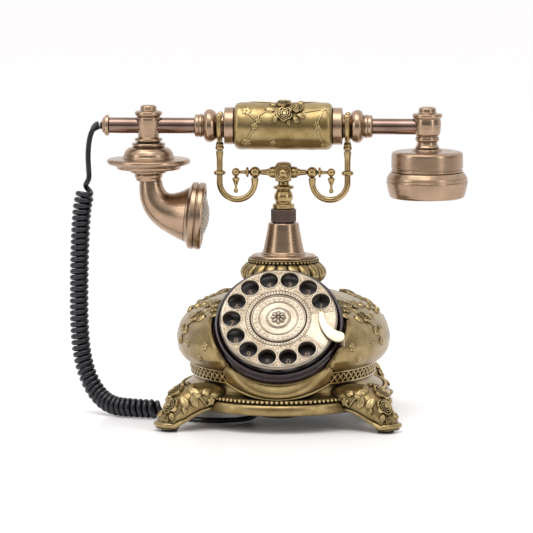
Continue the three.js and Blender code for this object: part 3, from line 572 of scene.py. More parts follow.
CORD_RADIUS = 2.25
COIL_MEAN_RADIUS = 5.8
COIL_PITCH = 4.88
POINTS_PER_TURN = 16
OPEN_TURNS = 1.4  # at each end, where the coil opens out into its lead
OPEN_PITCH = 4.4  # how many times longer the first of those turns is
COIL_LATER = 9  # how far the coil runs on past the ends of its own points
COIL_TO_LEAD = 1.2  # the step from the coil's last point to its lead
LEAD_TOP = [
    (-151.4, 0, 237.8),
    (-153.8, 0, 237),
    (-156.6, 0, 234),
    (-158.8, 0, 228.5),
    (-160.2, 0, 220),
    (-160.6, 0, 211),
    (-160.2, 0, 202),
    (-160, 0, 195),
    (-160.8, 0, 189.2),
]
COIL = [
    (-161.5, 0, 186.4),
    (-164, 0, 178),
    (-166, 0, 166),
    (-167.6, 0, 139),
    (-168.4, 0, 105),
    (-168.2, 0, 72),
    (-165.6, 0, 46),
    (-159.6, -2, 27),
    (-150, -8, 14),
    (-138, -17, 8.4),
    (-122, -26, 7.8),
    (-106, -31, 7.8),
    (-96, -33, 7.8),
]
LEAD_BASE = [
    (-94.6, -33.3, 7.2),
    (-90, -36, 4.4),
    (-84, -41, 2.4),
    (-72, -50, 2),
    (-60, -55.5, 2),
    (-48, -56, 2),
    (-36, -52, 2),
    (-26, -43, 2.4),
    (-20, -33, 5),
    (-17.6, -27.5, 9.6),
    (-17, -26, 13.4),
]


def cord_path():
    """The cord's middle line: a lead, a coil that opens out over its end turns, and a lead."""
    line = spline([*LEAD_TOP[:-1], *COIL, *LEAD_BASE[1:]], 4000)
    steps = np.linalg.norm(np.diff(line, axis=0), axis=1)
    along = np.concatenate([[0], np.cumsum(steps)])
    start = length_of(spline(LEAD_TOP, 200)) - COIL_LATER
    end = along[-1] - length_of(spline(LEAD_BASE, 200)) + COIL_LATER
    turns = (end - start) / COIL_PITCH - OPEN_TURNS * (OPEN_PITCH - 1)
    t = np.linspace(0, turns, int(turns * POINTS_PER_TURN))
    opening = 2 - smoothstep(t, 0, OPEN_TURNS) - smoothstep(turns - t, 0, OPEN_TURNS)
    at = np.concatenate([[0], np.cumsum(1 + (OPEN_PITCH - 1) * (opening[1:] + opening[:-1]) / 2)])
    at = start + at * (end - start) / at[-1]
    middle_line = np.stack([np.interp(at, along, line[:, k]) for k in range(3)], -1)
    _, one, two = frames_along(middle_line)
    radius = COIL_MEAN_RADIUS * smoothstep(t, 0, OPEN_TURNS) * smoothstep(turns - t, 0, OPEN_TURNS)
    angle = 2 * math.pi * t
    coil = middle_line + radius[:, None] * (np.cos(angle)[:, None] * one + np.sin(angle)[:, None] * two)
    before = evenly(line[along < start - COIL_TO_LEAD], 40)
    after = evenly(line[along > end + COIL_TO_LEAD], 60)
    path = np.vstack([before, coil, after])
    path[:, 2] = np.maximum(path[:, 2], CORD_RADIUS + 0.1)
    return path


def add_cord():
    path = cord_path()
    made = make_mesh("handset_cord", tube(path, CORD_RADIUS, 10))
    made.polygons.foreach_set("use_smooth", np.ones(len(made.polygons), bool))
    made.materials.append(cord_black)
    cord = bpy.data.objects.new("handset_cord", made)
    bpy.context.scene.collection.objects.link(cord)
    tuple(place((-168, 0, 60)))
    tuple(place((-168, 0, 185)))
    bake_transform(cord)
    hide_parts("cord_lead_handset", "cord_coil", "cord_lead_base")
    tuple(place(path[0]))
    [tuple(p) for p in place(path)]


add_cord()


RELIEF_STEPS = 16
RELIEF_RADII = ([0, 3, 12, 15], [3.5, 3.5, 2.8, 2.45])  # at these steps from the end cap
RIB_HEIGHT = 0.16


def strain_relief():
    """The ribbed, tapered sleeve that guides the cord out of the handset's end cap."""
    path = evenly(spline(LEAD_TOP, 400), 120)[:RELIEF_STEPS]
    step = np.arange(RELIEF_STEPS)
    return tube(path, np.interp(step, *RELIEF_RADII) + RIB_HEIGHT * np.cos(math.pi * step), 20)


piece("cord_strain_relief", strain_relief(), "handset", cord_black)

# ------------------------------------------------------------------ handset


def on_handset(shape):
    return shape.moved(z=HANDSET_Z)


def turned_x(profile, sides=96, radius=0.5, closed=False):
    """Turned about the handset's own axis, from points of radius and x."""
    return on_handset(lay_on_x(turned(profile, sides, radius, closed)))


FERRULE = [
    (7.7, 36), (7.7, 40.35), (14.7, 40.35), (15.2, 40.9), (15.2, 47.6), (14.7, 48.2), (10.3, 48.6),
    (9.6, 49.4), (9.6, 54.6), (10.6, 55.4), (12.4, 57), (13.4, 59), (13.6, 60.6), (13.4, 62.2), (12.4, 63.8),
    (10.2, 65.2), (8.9, 65.8), (8.9, 66.4), (9.7, 67), (9.7, 68.6), (8.9, 69.2), (9.3, 69.8), (9.3, 71.6),
    (8.6, 72.6), (7.4, 73), (6.75, 73), (6.75, 60.2), (7.2, 58),
]
piece(
    "ferrule_right_turned", turned_x(FERRULE, radius=0.45, closed=True), "handset", bronze_x,
    ["ferrule_right"],
)
piece(
    "ferrule_left_turned",
    turned_x(FERRULE, radius=0.45, closed=True).mirrored(),
    "handset",
    bronze_x,
    ["ferrule_left"],
)


def pipe(start, end):
    return turned_x([(5, start), (6.5, start), (6.5, end), (5, end)], 64, 0.3, closed=True)


piece("tube_left_turned", pipe(-143, -60.4), "handset", dark_bronze, ["tube_left"])
piece("tube_right_turned", pipe(60.4, 125.6), "handset", dark_bronze, ["tube_right"])
END_CAP = [
    (0, -150.8), (2.5, -150.7), (3.3, -149.4), (6.3, -148.2), (6.8, -147.2), (8.4, -146), (8.6, -145),
    (8.6, -143.6), (8.1, -143.3), (6.6, -143.3),
]
piece("end_cap_turned", turned_x(END_CAP, 64, 0.4), "handset", bronze_x, ["end_cap"])

MOUTH_X = -110.8
EAR_X = 117.6
MOUTH_KNOB = [
    (0, -13.6), (9.4, -13.6), (9.6, -12.9), (11.2, -12.5), (11.4, -11.5), (11.1, -10.5), (9.2, -10),
    (8.5, -9.3), (8.7, -7), (9.4, -3.5), (10.2, 1), (10.5, 4.6), (10.4, 6.6), (9.4, 7.4), (9.4, 8),
    (10.9, 8.6), (11.3, 10), (10.9, 11.4), (8.6, 12.2), (6.8, 12.6), (6.6, 13.3), (6.7, 15), (6.2, 16.1),
    (4.6, 16.8), (0, 17),
]
EAR_KNOB = [
    (0, -17.4), (9.8, -17.4), (9.9, -16.6), (8.9, -15.4), (8.2, -13.4), (8.2, -12.1), (9.6, -11.6),
    (9.9, -10), (9.6, -8.5), (8.8, -8.1), (8.9, -7.4), (10.4, -6.2), (11, -2), (11.2, 2), (10.9, 5.4),
    (10.5, 6.9), (11.9, 7.4), (12.35, 9), (11.9, 10.6), (8.2, 11.2), (7.2, 11.8), (7.1, 14.2), (6.6, 15.4),
    (4.4, 16.2), (0, 16.4),
]
piece(
    "mouth_knob_turned", on_handset(turned(MOUTH_KNOB).moved(x=MOUTH_X)), "handset", bronze,
    ["mouth_knob"],
)
piece(
    "ear_knob_turned", on_handset(turned(EAR_KNOB).moved(x=EAR_X)), "handset", bronze, ["ear_knob"],
)
MOUTH_FLANGE = [
    (0, -45.3), (10.4, -45.3), (10.6, -43.4), (11.3, -42.4), (11.5, -40.6), (11.1, -39.8), (12.4, -39.4),
    (14.6, -38.7), (15, -37.6), (14.8, -36.6), (16.2, -36.2), (25.6, -35.8), (26.3, -35), (26.5, -33.4),
    (27.2, -32.8), (32.6, -31.9), (34, -30.8), (34.35, -29.3), (33.8, -27.9), (32.4, -27.3), (23.4, -26.9),
    (21.7, -26.6), (21.6, -25.7), (20.7, -25.2), (20.2, -23), (18.9, -20.6), (16.6, -18.6), (13.4, -17.5),
    (12.6, -17), (13.5, -16.4), (13.8, -15.4), (13.4, -14.4), (10, -13.9), (0, -13.9),
]
piece(
    "mouth_flange_turned",
    on_handset(turned(MOUTH_FLANGE, 128, 0.4).moved(x=MOUTH_X)),
    "handset",
    bronze,
    ["mouth_flange"],
)

MOUTH = np.array([-80.5, 0, -73.4])
MOUTH_TILT = math.radians(5)
ELBOW_TOP = -45.6


def bezier(points, t):
    a, b, c, d = (np.asarray(p, float) for p in points)
    t = t[:, None]
    return (1 - t) ** 3 * a + 3 * t * (1 - t) ** 2 * b + 3 * t * t * (1 - t) * c + t**3 * d


def elbow():
    facing = np.array([math.cos(MOUTH_TILT), 0, -math.sin(MOUTH_TILT)])
    top = np.array([-109, 0, ELBOW_TOP])
    line = bezier([top, top - (0, 0, 18), MOUTH - 19 * facing, MOUTH], np.linspace(0, 1, 200))
    line = evenly(line, 60)
    t = np.linspace(0, 1, 60)
    radius = 9.3 + 12.7 * (0.35 * t + 0.65 * t * t)
    back = line[::-1]
    shell = np.vstack([line, back])
    radii = np.concatenate([radius, radius[::-1] - 2.2])
    ahead = np.gradient(line, axis=0)
    ahead /= np.linalg.norm(ahead, axis=1)[:, None]
    ahead = np.vstack([ahead, ahead[::-1]])
    side = np.array([0.0, 1.0, 0.0])
    other = np.cross(ahead, side)
    angles = np.linspace(0, 2 * math.pi, 96, endpoint=False)
    around = np.cos(angles)[None, :, None] * side + np.sin(angles)[None, :, None] * other[:, None]
    return on_handset(grid(shell[:, None] + radii[:, None, None] * around, wrap_rows=True))


def on_mouth(shape):
    """From a shape made about Z, with z along the mouthpiece's own axis, to its place on the handset."""
    turn = np.array(Matrix.Rotation(math.pi / 2 + MOUTH_TILT, 3, "Y"))
    return on_handset(shape.map(lambda p: p @ turn.T + MOUTH))


piece("mouth_elbow_swept", elbow(), "handset", bronze, ["mouth_elbow"])
MOUTH_RIM = [
    (19.6, 0.3), (22.3, 0.3), (22.8, 1.6), (24.2, 2.6), (26.2, 3.4), (27.3, 4.2), (27.6, 5.4), (27.6, 8.2),
    (26.5, 8.6), (26.5, 9.5), (27.6, 9.9), (27.6, 13.2), (26.9, 14.6), (25.4, 15), (24, 14.5), (23.4, 13.6),
    (23.4, 9), (19.6, 8),
]
piece(
    "mouth_rim_turned", on_mouth(turned(MOUTH_RIM, 128, 0.35, closed=True)), "handset", bronze_x,
    ["mouth_rim"],
)


def hole_places(rings):
    places = [(0.0, 0.0)]
    for count, radius in rings:
        for i in range(count):
            angle = 2 * math.pi * i / count
            places.append((radius * math.cos(angle), radius * math.sin(angle)))
    return places


def drilled(target, cutters):
    """Cuts the cutters' shape out of a piece."""
    tool = bpy.data.objects.new("cutter", make_mesh("cutter", cutters))
    bpy.context.scene.collection.objects.link(tool)
    step = target.modifiers.new("drill", "BOOLEAN")
    step.operation = "DIFFERENCE"
    step.solver = "EXACT"
    step.object = tool
    bpy.context.view_layer.update()
    result = bpy.data.meshes.new_from_object(target.evaluated_get(bpy.context.evaluated_depsgraph_get()))
    target.modifiers.clear()
    old = target.data
    target.data = result
    bpy.data.meshes.remove(old)
    bpy.data.objects.remove(tool)
    result.polygons.foreach_set("use_smooth", np.ones(len(result.polygons), bool))
    result.set_sharp_from_angle(angle=math.radians(38))
    return target


def pegs(places, radius, low, high, sides=14):
    return joined(
        [
            turned([(0, low), (radius, low), (radius, high), (0, high)], sides, 0).moved(x, y) for x,
            y in places
        ]
    )


DOME = [(22.9, 9.8), (22.9, 11.4), (20.6, 13.1), (17.2, 15), (13, 16.9), (8.6, 18.4), (4.2, 19.3), (0, 19.6)]
DOME_INSIDE = [(0, 17.6), (8.4, 16.5), (16.6, 13.2), (20.9, 9.8)]
dome = piece(
    "mouth_dome_pierced",
    on_mouth(turned([*DOME, *DOME_INSIDE], 96, 0.3, closed=True)),
    "handset",
    champagne,
    ["mouth_dome"],
)
drilled(dome, on_mouth(pegs(hole_places([(6, 4.2), (12, 8.4), (18, 12.6), (24, 16.8)]), 0.85, 5, 25)))

EAR_CUP = [
    (0, -17.8), (10.2, -17.8), (12, -18.2), (12.2, -19.2), (13.2, -19.6), (25.4, -19.9), (27.6, -20.5),
    (28.9, -21.6), (29.35, -23.2), (29.35, -33.6), (28.7, -34), (28.7, -34.8), (29.35, -35.2), (29.35, -36.7),
    (26.8, -36.7), (26.8, -22.6), (0, -22.6),
]
EAR_CAP = [
    (0, -51), (9, -51.3), (19, -54.6), (26.4, -58.2), (27.8, -58.6), (29.2, -58.3), (30.6, -57.2),
    (31.6, -54), (32.6, -49.6), (33.4, -45.6), (33.4, -44.4), (32.8, -43.4), (33.2, -42.6), (32.6, -41),
    (30.8, -38), (29.7, -37.1), (26.6, -36.9), (26.4, -44), (0, -44.2),
]
piece(
    "ear_cup_turned", on_handset(turned(EAR_CUP[::-1], 128, 0.4).moved(x=EAR_X)), "handset", bronze,
    ["ear_cup"]
)
ear_cap = piece(
    "ear_cap_pierced", on_handset(turned(EAR_CAP, 128, 0.4).moved(x=EAR_X)), "handset", bronze,
    ["ear_cap"]
)
drilled(ear_cap, on_handset(pegs(hole_places([(6, 5), (12, 10)]), 1.1, -62, -40).moved(x=EAR_X)))

# ------------------------------------------------------------------ cradle and pillar

POST = [
    (0, 80), (3.8, 80), (3.8, 170.2), (8.6, 170.2), (9, 170.8), (9, 173.4), (8.2, 174), (6.6, 174.6),
    (6.4, 175.4), (7.1, 176.6), (7.7, 178.4), (7.8, 180), (7.5, 181.6), (6.6, 183.6), (5.6, 185.2),
    (5.5, 186), (7.6, 186.2), (8.6, 186.8), (8.6, 188), (7.8, 188.7), (5.2, 189.3), (4.6, 190.2),
    (4.4, 192.4), (0, 192.4),
]
piece("cradle_post_turned", turned(POST, 64, 0.35), "cradle", brass, ["cradle_post"])


def boss(side):
    profile = [(0, 6.2), (7.2, 6.2), (7.25, 8.6), (6.6, 9.4), (5.6, 9.5), (5.2, 9.1), (4.2, 9.4), (0, 9.4)]
    disc = turned(profile, 64, 0.3)
    return disc.map(lambda p: np.stack([p[:, 0], side * p[:, 2], -side * p[:, 1]], -1)).moved(z=CRADLE_Z)


def hub():
    square = [(-6.4, -6.4), (6.4, -6.4), (6.4, 6.4), (-6.4, 6.4)]
    outline = []
    for (x0, y0), (x1, y1) in zip(square, square[1:] + square[:1]):
        outline += [(x0 + (x1 - x0) * t, y0 + (y1 - y0) * t) for t in np.linspace(0.07, 0.93, 6)]
    core = outline_slab(outline, CRADLE_Z - 7, CRADLE_Z + 7, 0.9, 4)
    cap = turned(
        [(0, 0), (5.6, 0), (5.8, 0.9), (4.4, 1.5), (2.4, 1.9), (0, 2)], 48, 0.3,
    ).moved(z=CRADLE_Z + 6.8)
    front = ball(4.4, 32, 16).moved(y=-9.6, z=CRADLE_Z)
    return joined([core, cap, boss(-1), boss(1), front])


piece("cradle_hub_cast", hub(), "cradle", brass, ["cradle_hub"])


def bead_profile(middle_at, radius, squash=1.0, count=9, cut=0.25):
    """Points of a round bead in a turned profile, from its lower neck to its upper one."""
    angles = np.linspace(-math.pi / 2 + cut, math.pi / 2 - cut, count)
    return [(radius * math.cos(a), middle_at + radius * squash * math.sin(a)) for a in angles]


ARM = [
    (0, 6.5), (4.4, 6.5), (4.9, 7.2), (4.9, 9), (4.5, 10), (4.5, 11), (3.4, 11.6), (2.6, 13.6), (2.2, 16.6),
    (2.3, 18.4),
    *bead_profile(23.4, 4.75, 0.98), (1.6, 28.3), (4, 28.7), (4.4, 29.4), (4.2, 30.3), (3.2, 30.9),
    (1.7, 31.3),
    (1.4, 33.4), (1.4, 35.4), *bead_profile(39.1, 3.55, 0.98), (0, 42.6),
]
PENDANT = [
    (0, 182.6), (1, 182.7), (1.7, 183.6), (1.9, 184.7), (1.5, 185.9), (0.95, 186.6), (1, 188.4), (1.5, 190),
    (2.6, 192.6), (3.1, 194.2), (2.8, 195.1), (1.6, 195.7), (1, 196.4), (1, 198), (0, 198),
]
HOOK_X = 38
HOOK_RADIUS = 14.4
HOOK_TUBE = 2.5
FORK_X = HOOK_X + HOOK_RADIUS
PRONG_RADIUS = 2.2
PRONG_TOP = 248
HOOK_COLLAR = [(1, 197.4), (3.6, 197.4), (4.6, 198), (5.1, 199.2), (4.6, 200.4), (3.6, 201.1), (1, 201.1)]
FORK_STEM = [
    (0, 217.3), (2.5, 217.3), (2.7, 218), (3.4, 218.6), (3.7, 219.8), (3.4, 221), (2.9, 221.6), (3.3, 222.2),
    (3.2, 223.2), (2.5, 224.4), (2.3, 226), (0, 226),
]


def arc_points(x, z, radius, start, end, count):
    angles = np.radians(np.linspace(start, end, count))
    return [(x + radius * math.cos(a), z + radius * math.sin(a)) for a in angles]


def hook():
    low = CRADLE_Z - 8.2
    inner = HOOK_X - HOOK_RADIUS
    line = [(inner, CRADLE_Z - 4.6), (inner, low), *arc_points(HOOK_X, low, HOOK_RADIUS, 190, 350, 14)]
    line += [(FORK_X, low), (FORK_X, CRADLE_Z), (FORK_X, 209), (FORK_X, 217)]
    path = spline([(x, 0, z) for x, z in line], 120)
    neck = 1 + 0.25 * smoothstep(np.abs(np.linspace(-1, 1, 120)), 0.8, 1.0)
    return joined([tube(path, HOOK_TUBE * neck, 20), turned(HOOK_COLLAR, 48, 0.3).moved(x=FORK_X)])


def fork():
    sweep = 12.2
    line = [(-sweep, PRONG_TOP - 2.4), (-sweep, 243)]
    line += arc_points(0, HANDSET_Z, sweep, 180, 360, 15)
    line += [(sweep, 243), (sweep, PRONG_TOP - 2.4)]
    path = spline([(FORK_X, y, z) for y, z in line], 110)
    tips = [ball(2.75, 20, 12).moved(FORK_X, side * sweep, PRONG_TOP - 2.2) for side in (-1, 1)]
    return joined([tube(path, PRONG_RADIUS, 20), turned(FORK_STEM, 48, 0.3).moved(x=FORK_X), *tips])


def arm():
    bar = lay_on_x(turned(ARM, 48, 0.3)).moved(z=CRADLE_Z)
    return joined([bar, turned(PENDANT, 32, 0.25).moved(x=39.1)])


for side in ("left", "right"):
    for node, shape in (("arm", arm()), ("hook", hook()), ("fork", fork())):
        placed = shape.mirrored() if side == "left" else shape
        piece(f"{node}_{side}_cast", placed, "cradle", brass, [f"{node}_{side}"])

CONE = [
    (4.3, 129.9), (26.2, 129.9), (26.5, 130.2), (26.5, 131.2), (25.9, 132), (24.6, 132.2), (19.6, 132.4),
    (18.7, 132.8), (18.4, 133.8), (17.4, 134.3), (16.9, 135.2), (15.7, 140.5), (14.5, 146.5), (13.3, 153),
    (12.6, 157.6), (12.1, 158.5), (4.3, 158.5),
]
piece("pillar_cone_turned", turned(CONE, 128, 0.3, closed=True), "base", bronze, ["pillar_cone"])


def knurled(shape, count, depth, slant):
    """Crossing grooves cut into a turned shape's side."""

    def change(points):
        angle = np.arctan2(points[:, 1], points[:, 0])
        r = np.hypot(points[:, 0], points[:, 1])
        one = np.abs(np.sin(count / 2 * angle + slant * points[:, 2]))
        two = np.abs(np.sin(count / 2 * angle - slant * points[:, 2]))
        inside = smoothstep(points[:, 2], 160, 161) * smoothstep(points[:, 2], 169.2, 168.2) * (r > 9)
        k = 1 - depth * (1 - np.minimum(one, two) ** 0.5) * inside / np.maximum(r, 1)
        return points * np.stack([k, k, np.ones_like(k)], -1)

    return shape.map(change)


def nut():
    rows = [(10.4, z) for z in np.linspace(160.1, 169.1, 34)]
    profile = [(4.3, 158.9), (9.2, 158.9), (10.2, 159.4), *rows, (10.1, 169.5), (9.2, 169.9), (4.3, 169.9)]
    return knurled(turned(profile, 240, 0, closed=True), 44, 0.75, 0.85)


piece("knurled_nut_cut", nut(), "base", nut_brown, ["knurled_nut"], sharp=60)

LOBES = 20


def gadroon():
    """A ring of rounded lobes that swell in the middle and pinch together above and below."""
    heights = np.linspace(0, 1, 40)
    swell = np.sin(math.pi * heights) ** 0.75
    r = 29 + 6.9 * swell - 0.9 * heights
    z = 109 + 17.6 * heights
    lobes = [(a, b) for a, b in zip(r, z)]
    profile = [(4.6, 109), *lobes, (27.6, 127), (27.6, 129.6), (4.6, 129.6)]
    shape = turned(profile, LOBES * 18, 0, closed=True)

    def change(points):
        angle = np.arctan2(points[:, 1], points[:, 0])
        radius = np.hypot(points[:, 0], points[:, 1])
        up = np.clip((points[:, 2] - 109) / 17.6, 0, 1)
        on_side = (radius > 27.7) & (points[:, 2] < 126.9)
        across = 2 * ((angle * LOBES / (2 * math.pi) + 0.5) % 1) - 1
        groove = 1 - np.sqrt(1 - (0.985 * across) ** 2)
        pull = 4.4 * groove * (0.45 + 0.55 * np.sin(math.pi * up)) * on_side
        k = 1 - pull / np.maximum(radius, 1)
        return points * np.stack([k, k, np.ones_like(k)], -1)

    return shape.map(change)


def bead_ring(count, radius, z, size, squash=1.0):
    one = ball(size, 12, 8, squash)
    beads = []
    for i in range(count):
        angle = 2 * math.pi * (i + 0.5) / count
        beads.append(one.moved(radius * math.cos(angle), radius * math.sin(angle), z))
    return joined(beads)


def collar_top():
    """The flat ring over the lobes, with small beads under it."""
    plate = turned(
        [(20, 128.6), (28.4, 128.6), (28.9, 129), (28.9, 129.5), (28.2, 129.8), (20, 129.8)], 128, 0.2, True,
    )
    return joined([plate, bead_ring(54, 27.9, 127.4, 1.55)])


piece(
    "gadroon_collar_cast", joined([gadroon(), collar_top()]), "base", gold,
    ["gadroon_collar"], sharp=60,
)

# ------------------------------------------------------------------ dial

HOLE_CIRCLE = 37.7
HOLE_RADIUS = 7.2
HOLE_ANGLES = [math.radians(26.4 + i * 360 / 14) for i in range(12)]
HOLE_PLACES = [(HOLE_CIRCLE * math.cos(a), HOLE_CIRCLE * math.sin(a)) for a in HOLE_ANGLES]


def dialled(shape):
    return shape.map(from_dial)


BEZEL = [
    (12, -12.6), (47.2, -12.6), (47.7, -12), (48.5, -7.6), (49.2, -6.4), (50.4, -6), (51.3, -6.2),
    (51.7, -6.9), (51.8, -8.6), (51.1, -9.2), (51.1, -10.2), (52, -10.8), (52.4, -12), (52.4, -15.4),
    (12, -15.4),
]
piece(
    "dial_bezel_turned", dialled(turned(BEZEL[::-1], 160, 0.3, True)), "base", black_gloss,
    ["dial_bezel"],
)
NUMBER_RING = [(10, -7.6), (10, -12.2), (46.8, -12.2), (46.8, -8), (46.2, -7.6)]
piece(
    "number_plate_turned", dialled(turned(NUMBER_RING, 128, 0.2, True)), "base", dial_black,
    ["number_plate"]
)
PLATE = [
    (3.4, -4.4), (45.6, -4.4), (46.6, -4.1), (47.4, -3.2), (47.6, -2), (47.2, -0.8), (46.4, -0.15), (45.4, 0),
    (26.4, 0), (25.8, 0.35), (24.0, 0.35), (23.2, 0.1), (22.8, -0.4), (22.8, -1.8), (3.4, -1.8),
]
plate = piece(
    "finger_plate_turned", dialled(turned(PLATE, 180, 0.2, True)), "dial", champagne,
    ["finger_plate"]
)
drilled(plate, dialled(pegs(HOLE_PLACES, HOLE_RADIUS, -8, 4, 48)))


def sector_field():
    """The thin stippled field between the holes, which stops short of the smooth part by the finger stop."""
    angles = np.radians(np.linspace(9, 326, 360))
    outline = [(45.2 * math.cos(a), 45.2 * math.sin(a)) for a in angles]
    outline += [(26.6 * math.cos(a), 26.6 * math.sin(a)) for a in angles[::-1]]
    return outline_slab(outline, -0.1, 0.22, 0.12, 1)


field = piece("finger_plate_field", dialled(sector_field()), "dial", champagne_stippled)
drilled(field, dialled(pegs(HOLE_PLACES, HOLE_RADIUS + 1.0, -3, 3, 48)))


def torus(radius, thick, z=0.0, sides=64, round_sides=10, flat=1.0):
    angles = np.linspace(0, 2 * math.pi, round_sides, endpoint=False)
    profile = [(radius + thick * math.cos(a), z + flat * thick * math.sin(a)) for a in angles]
    return turned(profile, sides, 0, closed=True)


def dial_trim():
    """Polished rims round the holes and the ring of small beads round the middle."""
    rims = [torus(HOLE_RADIUS + 0.75, 0.78, 0, 48, 12, 0.62).moved(x, y) for x, y in HOLE_PLACES]
    return joined([*rims, bead_ring(66, 24.9, 0.4, 0.62, 0.8), torus(26.3, 0.3, 0.05, 96, 8)])


piece("finger_plate_trim", dialled(dial_trim()), "dial", champagne)


def petal_disc(radius, height, petals, rows=16, columns=96):
    """A low rosette: rounded petals round a button."""
    r = np.linspace(0, 1, rows)[:, None]
    a = np.linspace(0, 2 * math.pi, columns, endpoint=False)[None, :]
    lobe = np.abs(np.cos(petals / 2 * a))
    edge = 0.72 + 0.28 * lobe**0.6
    reach = np.clip(r / edge, 0, 1)
    h = height * np.sqrt(np.clip(1 - reach**3.2, 0, 1)) * (0.45 + 0.55 * lobe**0.5)
    button = height * 1.25 * np.sqrt(np.clip(1 - (r / 0.26) ** 2, 0, 1))
    h = np.maximum(h * smoothstep(r, 0.18, 0.34), button)
    rim = np.minimum(r, edge + 0.0 * r)
    x = radius * rim * np.cos(a)
    y = radius * rim * np.sin(a)
    sheet = grid(np.stack([x, y, h - 0.3 * (r > 0.999)], -1)[::-1])
    return welded(sheet)


MEDALLION = [
    (0, -1.5), (22.5, -1.5), (22.5, 0.1), (22.2, 0.7), (21.6, 0.95), (20.9, 0.7), (20.6, 0.5), (16.4, 0.5),
    (16, 0.7), (15.6, 0.95), (15.1, 0.8), (14.8, 0.55), (10.2, 0.7), (9.8, 0.9), (9.4, 1.2), (0, 1.5),
]


def medallion():
    disc = turned(MEDALLION, 160, 0.2)
    leaves = []
    count = 28
    for i in range(count):
        angle = 2 * math.pi * i / count
        one = leaf(3.6, 1.5, 0.45).map(lambda p, a=angle: turned_flat(p, a + math.radians(62)))
        leaves.append(one.moved(18.5 * math.cos(angle), 18.5 * math.sin(angle), 0.45))
    rosette = petal_disc(6.6, 1.5, 8).moved(z=1.2)
    return joined([disc, *leaves, rosette, torus(8.6, 0.35, 1.3, 96, 8)])


def turned_flat(points, angle):
    c, s = math.cos(angle), math.sin(angle)
    return np.stack(
        [points[:, 0] * c - points[:, 1] * s, points[:, 0] * s + points[:, 1] * c, points[:, 2]], -1,
    )


def leaf(length, width, height, rows=12, columns=9, veins=5):
    """A pointed leaf along X, with a sunken midrib, side veins and edges that meet the ground."""
    u = np.linspace(0, 1, rows)[:, None]
    v = np.linspace(-1, 1, columns)[None, :]
    half = width * (np.sin(math.pi * u**0.8) ** 0.8) * (1 + 0.06 * np.cos(veins * 2 * math.pi * u))
    x = length * (u - 0.5) + 0.12 * length * np.abs(v) * (1 - u)
    y = half * v
    crown = (1 - np.abs(v) ** 3) * (0.6 + 0.4 * np.abs(v) ** 0.5) * np.sin(
        math.pi * np.clip(u, 0.02, 0.98),
    ) ** 0.5
    veined = 1 - 0.22 * np.cos(2 * math.pi * (veins * u - 1.2 * np.abs(v))) * (np.abs(v) > 0.1)
    z = height * crown * veined - 0.35 * (np.abs(v) > 0.99)
    top = np.stack([x, y + 0 * z, z], -1)
    return welded(grid(top.transpose(1, 0, 2)[::-1], wrap_columns=False))


piece("dial_medallion_cast", dialled(medallion()), "dial", champagne, ["dial_medallion"])

STOP_CORNERS = [
    (32.4, 4.6), (31.6, -5, 35.6, -12.4), (39.6, -20.4, 45.4, -23.2), (51.6, -25.4, 54, -20.4),
    (54.8, -14.4, 49.2, -13.6), (43.4, -11, 40.2, -5.8), (37.4, -1.6, 36.6, 4.4), (34.6, 6.2, 32.4, 4.6),
]


def stop_outline():
    at = np.array(STOP_CORNERS[0])
    outline = []
    for cx, cy, x, y in STOP_CORNERS[1:]:
        for t in np.linspace(0, 1, 12, endpoint=False):
            outline.append(
                (1 - t) ** 2 * at + 2 * t * (1 - t) * np.array((cx, cy)) + t * t * np.array((x, y)),
            )
        at = np.array((x, y))
    return np.array(outline)


stop_cream = champagne_look("stop_cream", False, (0.46, 0.40, 0.27), (0.58, 0.52, 0.38))
post = turned([(0, -15.4), (2, -15.4), (2, 2), (0, 2)], 24, 0).moved(51.9, -19.5)
piece(
    "finger_stop_cast",
    dialled(joined([outline_slab(stop_outline(), 1.4, 3.2, 0.7, 5), post])),
    "base",
    stop_cream,
    ["finger_stop"],
)


def add_digits():
    """Numbers on the plate behind the holes, raised a tenth of a millimetre."""
    marks = "123456789*0#"
    for mark, (x, y) in zip(marks, HOLE_PLACES):
        curve = bpy.data.curves.new("digit", "FONT")
        curve.body = mark
        curve.size = 7.4 * MM
        curve.align_x = "CENTER"
        curve.align_y = "CENTER"
        curve.extrude = 0.1 * MM
        curve.offset = 0.12 * MM
        text = bpy.data.objects.new("digit", curve)
        bpy.context.scene.collection.objects.link(text)
        bpy.context.view_layer.update()
        mesh = bpy.data.meshes.new_from_object(text.evaluated_get(bpy.context.evaluated_depsgraph_get()))
        bpy.data.objects.remove(text)
        basis = Matrix((DIAL_RIGHT, DIAL_UP, DIAL_OUT)).transposed().to_4x4()
        mesh.transform(Matrix.Translation(Vector(place(from_dial((x, y, -7.52))))) @ basis)
        mesh.materials.clear()
        mesh.materials.append(digit_brown)
        made = bpy.data.objects.new("digit_" + str(marks.index(mark) + 1), mesh)
        bpy.context.scene.collection.objects.link(made)
        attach(made, "base")


add_digits()

# ------------------------------------------------------------------ surfaces of the body and the legs

DOME_PROFILE = [
    (77, 46.6), (80.6, 48.6), (83.6, 51.6), (86.2, 55.6), (87, 60), (87.4, 64.4), (87, 68.5), (82.6, 80),
    (70, 91), (48, 99.4), (34, 103.4), (29, 108.6),
]
DOME_LINE = spline(DOME_PROFILE, 200)


def dome_at(angle, height):
    """A point of the plain dome: angle in degrees from the right, height from 0 at the band to 1 at
    the top."""
    row = np.asarray(height, float) * (len(DOME_LINE) - 1)
    r = np.interp(row, np.arange(len(DOME_LINE)), DOME_LINE[:, 0])
    z = np.interp(row, np.arange(len(DOME_LINE)), DOME_LINE[:, 1])
    a = np.radians(angle)
    return np.stack([r * np.cos(a), depth_of(r) * np.sin(a), z + 0 * a], -1)


